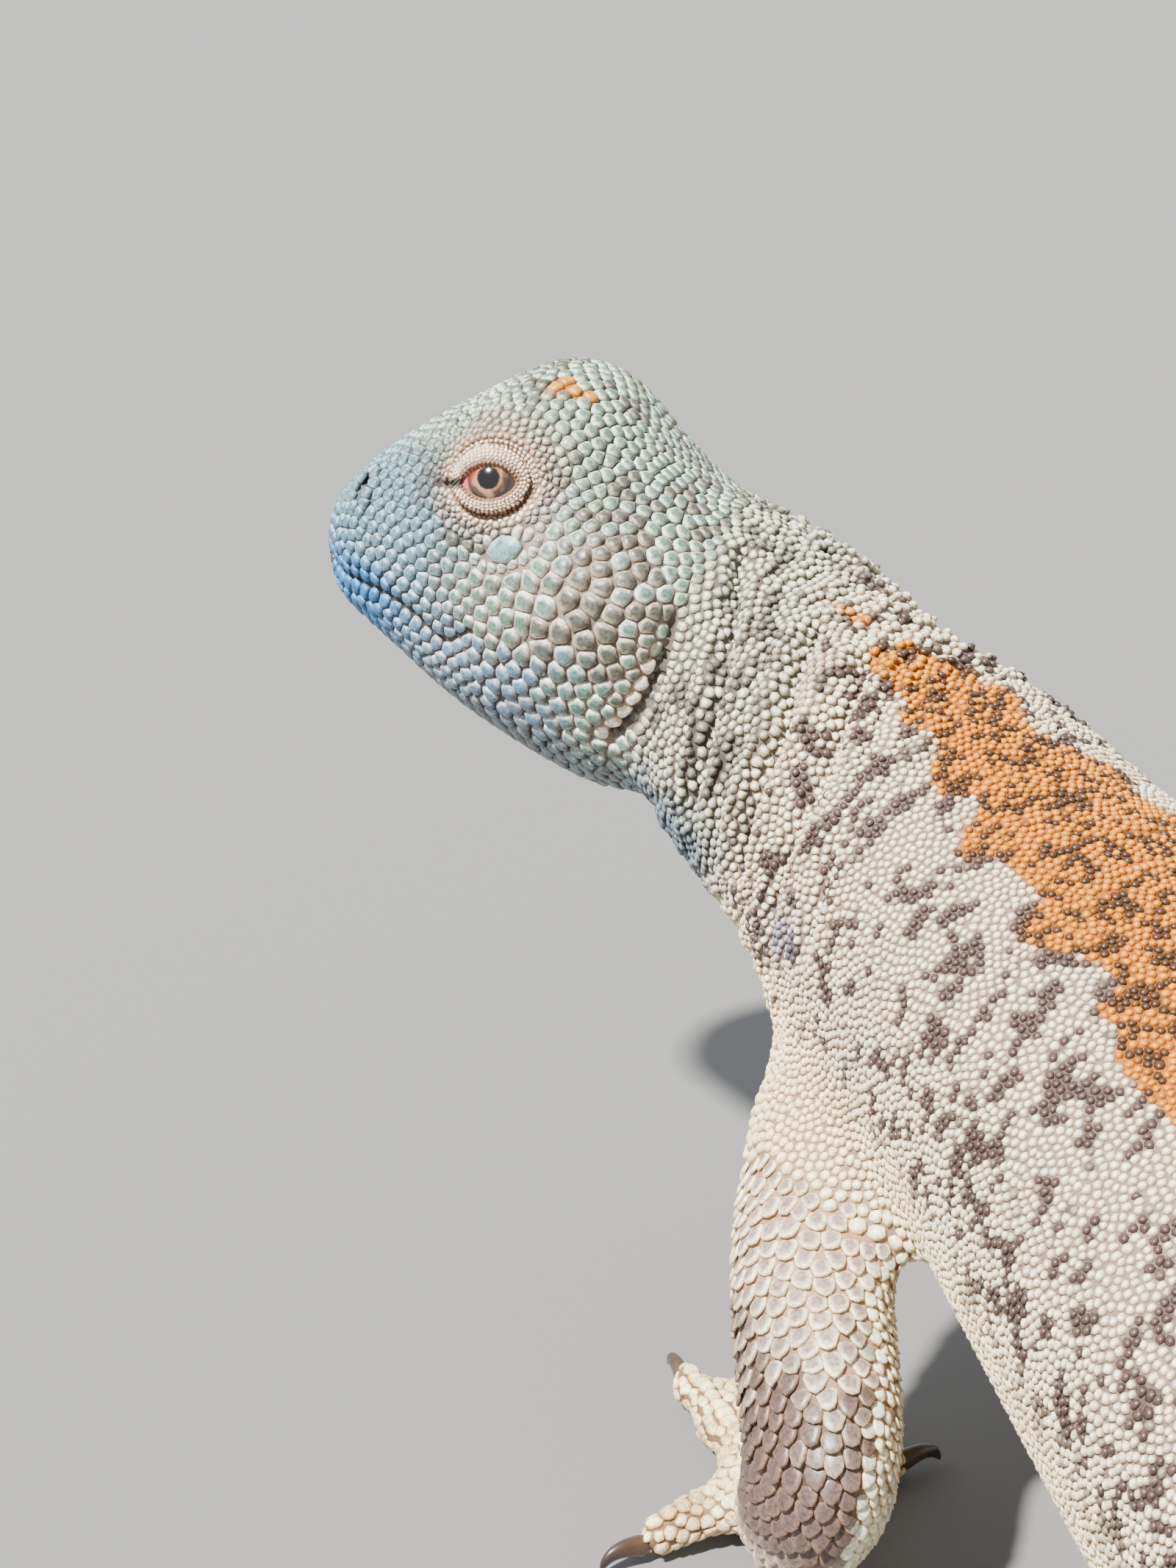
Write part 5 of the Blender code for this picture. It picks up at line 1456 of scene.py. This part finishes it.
def makeClaws():
    rings, triangles, colours = [], [], []
    turn = np.linspace(0, 2 * math.pi, claw["around"], endpoint=False)
    for limb, tips in claws.items():
        palm = np.array([*limbs[limb][-1][:2], 0.0])
        for tip in tips:
            away = unit(np.array([*tip, 0.0]) - palm)
            reach = np.linalg.norm(np.array([*tip, 0.0]) - palm) - claw["length"] + claw["gap"]
            start = palm + away * reach + (0, 0, claw["rootHeight"])
            side = np.array([-away[1], away[0], 0])
            made = []
            for share in np.linspace(-claw["into"], 1, claw["rings"]):
                flat = max(share, 0)
                bend = math.radians(claw["bend"]) * flat
                forward = math.sin(flat * claw["curl"]) / math.sin(claw["curl"]) + min(share, 0)
                place = start + away * claw["length"] * forward
                place = place + (0, 0, claw["length"] * (claw["arch"] * math.sin(flat * math.pi)
                                                         - claw["drop"] * flat ** 2))
                radius = (claw["radius"] * (1 - flat) ** 0.75 + claw["tipRadius"]) * (1 + 0.9 * min(share, 0))
                over = away * math.sin(bend) + (0, 0, math.cos(bend))
                made.append(place + radius * (np.outer(np.cos(turn), side) * claw["slimness"]
                                              + np.outer(np.sin(turn), over)))
            low = min(ring[:, 2].min() for ring in made)
            lift = max(claw["lowest"] - low, 0)
            made = [ring + (0, 0, lift * i / (len(made) - 1)) for i, ring in enumerate(made)]
            first = sum(len(r) for r in rings)
            count = claw["around"]
            triangles += halved(loftFaces(len(made), count, first))
            ends = np.array([made[0].mean(axis=0), made[-1].mean(axis=0)])
            last = first + (len(made) - 1) * count
            close = first + len(made) * count
            triangles += [(first + (j + 1) % count, first + j, close) for j in range(count)]
            triangles += [(last + j, last + (j + 1) % count, close + 1) for j in range(count)]
            rings += made + [ends]
            shade = np.repeat(np.linspace(1, 0, len(made)), count)
            colours.append(mixed(np.tile(tone(64, 50, 42), (len(shade), 1)), tone(150, 122, 96), shade ** 2))
            colours.append(np.array([tone(150, 122, 96), tone(52, 40, 34)]))
    return triangleObject("claws", np.vstack(rings), np.array(triangles), np.vstack(colours))


clawFinish = Finish("clawHorn")
clawColour = clawFinish.shaded(clawFinish.tint(), clawFinish.noise(1400.0, 4.0) * 0.7 + 0.65)
clawMaterial = clawFinish.set(colour=clawColour, roughness=0.34, coat=0.3)
clawPiece = makeClaws()
clawPiece.data.materials.append(clawMaterial)
clawNames = [name for name in nodes if name.startswith("claw")]

# Tail spines: rings of flattened spines, a point for each one, and a tree that sets a spine on every point
spines = {
    "whorls": 18, "from": 0.085, "to": 0.965, "apart": (3.1, 1.8), "arc": 112, "lean": 26, "fill": 1.12,
    "thickness": 0.62, "lengthShare": 0.86, "sideGain": 0.25, "root": 0.55, "sag": 0.12,
    "sides": 9, "rings": 4, "unevenness": 0.10, "seed": 5,
    "base": (176, 148, 108), "tip": (240, 226, 190),
}


def spinePoints():          # places, the way each points, and its breadth, thickness and length
    rows = tailRows()
    along, left, up = sideways(rows[:, :3])
    whole = np.arange(len(rows))
    number = np.arange(spines["whorls"] + 1) / (spines["whorls"] - 1)
    share = spines["from"] + (spines["to"] - spines["from"]) * number * (1.25 - 0.25 * number)
    places, aims, outs, scales = [], [], [], []
    for i in range(spines["whorls"]):
        at = share[i] * (len(rows) - 1)
        row, back, side, over = (np.stack([np.interp(at, whole, column) for column in field.T])
                                 for field in (rows, along, left, up))
        gap = (share[i + 1] - share[i]) * tail["length"]
        ring = crossSection(360, row[3], row[4], row[5], tail["fullness"])
        turn = np.degrees(np.arctan2(ring[:, 0], ring[:, 1]))
        order = np.argsort(turn)
        order = order[np.abs(turn[order]) <= spines["arc"]]
        run = np.concatenate([[0], np.cumsum(np.linalg.norm(np.diff(ring[order], axis=0), axis=1))])
        apart = np.interp(i, (0, spines["whorls"] - 1), spines["apart"])
        count = max(7, round(run[-1] / apart))
        for spot in (np.arange(count) + 0.5) / count * run[-1]:
            flat = np.array([np.interp(spot, run, ring[order][:, axis]) for axis in (0, 1)])
            out = unit(side * flat[0] / row[3] ** 2 + over * flat[1] / row[4] ** 2)
            lean = math.radians(spines["lean"])
            length = gap * spines["lengthShare"] * (1 + spines["sideGain"] * abs(out @ side))
            places.append(row[:3] + side * flat[0] + over * flat[1] - out * spines["root"])
            aims.append(back * math.cos(lean) + out * math.sin(lean))
            outs.append(out)
            scales.append((run[-1] / count * spines["fill"], run[-1] / count * spines["thickness"], length))
    return (np.array(part) for part in (places, aims, outs, scales))


def spineTree():
    tree = bpy.data.node_groups.new("spinesOnPoints", "GeometryNodeTree")
    tree.interface.new_socket("Geometry", in_out="INPUT", socket_type="NodeSocketGeometry")
    named = {}
    for name, kind in (("Sides", "Int"), ("Rings", "Int"), ("Unevenness", "Float"), ("Seed", "Int"),
                       ("Material", "Material")):
        socket = tree.interface.new_socket(name, in_out="INPUT", socket_type="NodeSocket" + kind)
        named[name] = socket.identifier
    tree.interface.new_socket("Geometry", in_out="OUTPUT", socket_type="NodeSocketGeometry")
    start = tree.nodes.new("NodeGroupInput")
    given = {socket.name: Socket(tree, socket) for socket in start.outputs if socket.name}
    cone = addNode(tree, "GeometryNodeMeshCone", {"fill_type": "TRIANGLE_FAN"}, {
        "Vertices": given["Sides"], "Side Segments": given["Rings"], "Radius Top": 0.04, "Radius Bottom": 0.5,
        "Depth": 1.0}, "Mesh")
    aim, out, size = (addNode(tree, "GeometryNodeInputNamedAttribute", {"data_type": "FLOAT_VECTOR"},
                              {"Name": name}) for name in ("aim", "out", "size"))
    turned = addNode(tree, "FunctionNodeAxesToRotation", {"primary_axis": "Z", "secondary_axis": "Y"},
                     {"Primary Axis": aim, "Secondary Axis": out})
    chance = addNode(tree, "FunctionNodeRandomValue", {"data_type": "FLOAT"},
                     {2: 1.0 - given["Unevenness"], 3: 1.0 + given["Unevenness"], "Seed": given["Seed"]}, 1)
    scaled = addNode(tree, "ShaderNodeVectorMath", {"operation": "SCALE"}, {0: size, "Scale": chance})
    set_ = addNode(tree, "GeometryNodeInstanceOnPoints", {}, {
        "Points": given["Geometry"], "Instance": cone, "Rotation": turned, "Scale": scaled})
    real = addNode(tree, "GeometryNodeRealizeInstances", {}, {"Geometry": set_})
    done = addNode(tree, "GeometryNodeSetMaterial", {}, {"Geometry": real, "Material": given["Material"]})
    finish = tree.nodes.new("NodeGroupOutput")
    tree.links.new(done.link, finish.inputs["Geometry"])
    return tree, named


def makeSpines():
    places, aims, outs, scales = spinePoints()
    mesh = bpy.data.meshes.new("spinePoints")
    mesh.from_pydata(places.tolist(), [], [])
    for name, values in (("aim", aims), ("out", outs), ("size", scales)):
        mesh.attributes.new(name, "FLOAT_VECTOR", "POINT").data.foreach_set("vector", values.ravel())
    holder = newObject("spinePoints", mesh)
    tree, named = spineTree()
    modifier = holder.modifiers.new("spines", "NODES")
    modifier.node_group = tree
    for name in ("Sides", "Rings", "Unevenness", "Seed"):
        modifier[named[name]] = spines[name.lower()]
    modifier[named["Material"]] = scaleMaterial
    made = bpy.data.meshes.new_from_object(holder.evaluated_get(bpy.context.evaluated_depsgraph_get()))
    holder.modifiers.clear()
    bpy.data.objects.remove(holder)
    points, triangles = np.array([v.co for v in made.vertices]), trianglesOf(made)
    each = len(points) // len(places)
    rise = np.sum((points.reshape(-1, each, 3) - places[:, None]) * aims[:, None], 2)
    rise = np.clip(rise / scales[:, 2:], 0, 1)
    luck = np.random.default_rng(spines["seed"]).uniform(0.85, 1.1, (len(places), 1, 1))
    base, tip = tone(*spines["base"]), tone(*spines["tip"])
    tints = (base + (tip - base) * (rise ** 1.6)[:, :, None]) * luck
    # each spine bends down towards its tip, as the lower side is the flatter one
    sag = outs[:, None] * (rise ** 2 * scales[:, 2:] * spines["sag"])[:, :, None]
    points = points - sag.reshape(-1, 3)
    points[:, 2] = np.maximum(points[:, 2], lowest)
    home = atlasOf(places, np.full(len(places), fleshAndTail.index("tail_1")))
    ring = 2 * math.pi * np.arange(each) / each
    atlas = (home[:, None] + patch * np.stack([np.cos(ring), np.sin(ring)], 1)[None]).reshape(-1, 2)
    return triangleObject("tail_spines", points, triangles, tints.reshape(-1, 3), atlas)


tailSpines = makeSpines()
tailSpines.data.materials.append(scaleMaterial)

# Floor and lights
floorHalf = 12
light = {"sun": 17.0, "width": 3, "colour": (1.0, 0.97, 0.93), "from": (0.60, 0.14, 0.86),
         "sky": (0.8, 0.84, 0.9, 1), "skyStrength": 1.3}
floorMesh = bpy.data.meshes.new("paleFloor")
floorMesh.from_pydata([(floorHalf * x, floorHalf * y, 0) for x, y in ((-1, -1), (1, -1), (1, 1), (-1, 1))],
                      [], [(0, 1, 2, 3)])
floor = newObject("paleFloor", floorMesh)
floorFinish = Finish("paleFloor")
floorMesh.materials.append(floorFinish.set(colour=(0.15, 0.149, 0.146, 1), roughness=0.8))

sun = bpy.data.lights.new("softSun", "SUN")
sun.energy = light["sun"]
sun.angle = math.radians(light["width"])
sun.color = light["colour"]
newObject("softSun", sun).rotation_euler = Vector(light["from"]).to_track_quat("Z", "Y").to_euler()
world = bpy.data.worlds.new("studio")
bpy.context.scene.world = world
world.use_nodes = True
sky = world.node_tree.nodes["Background"].inputs
sky["Color"].default_value = light["sky"]
sky["Strength"].default_value = light["skyStrength"]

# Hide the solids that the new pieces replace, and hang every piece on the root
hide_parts(*fleshNames, *tailNames)
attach(skinObject, "root")
for piece, kind in coat:
    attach(piece, "root")
for eye, node in eyes:
    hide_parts(node)
    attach(eye, "root")
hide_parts(*clawNames)
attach(clawPiece, "root")
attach(tailSpines, "root")
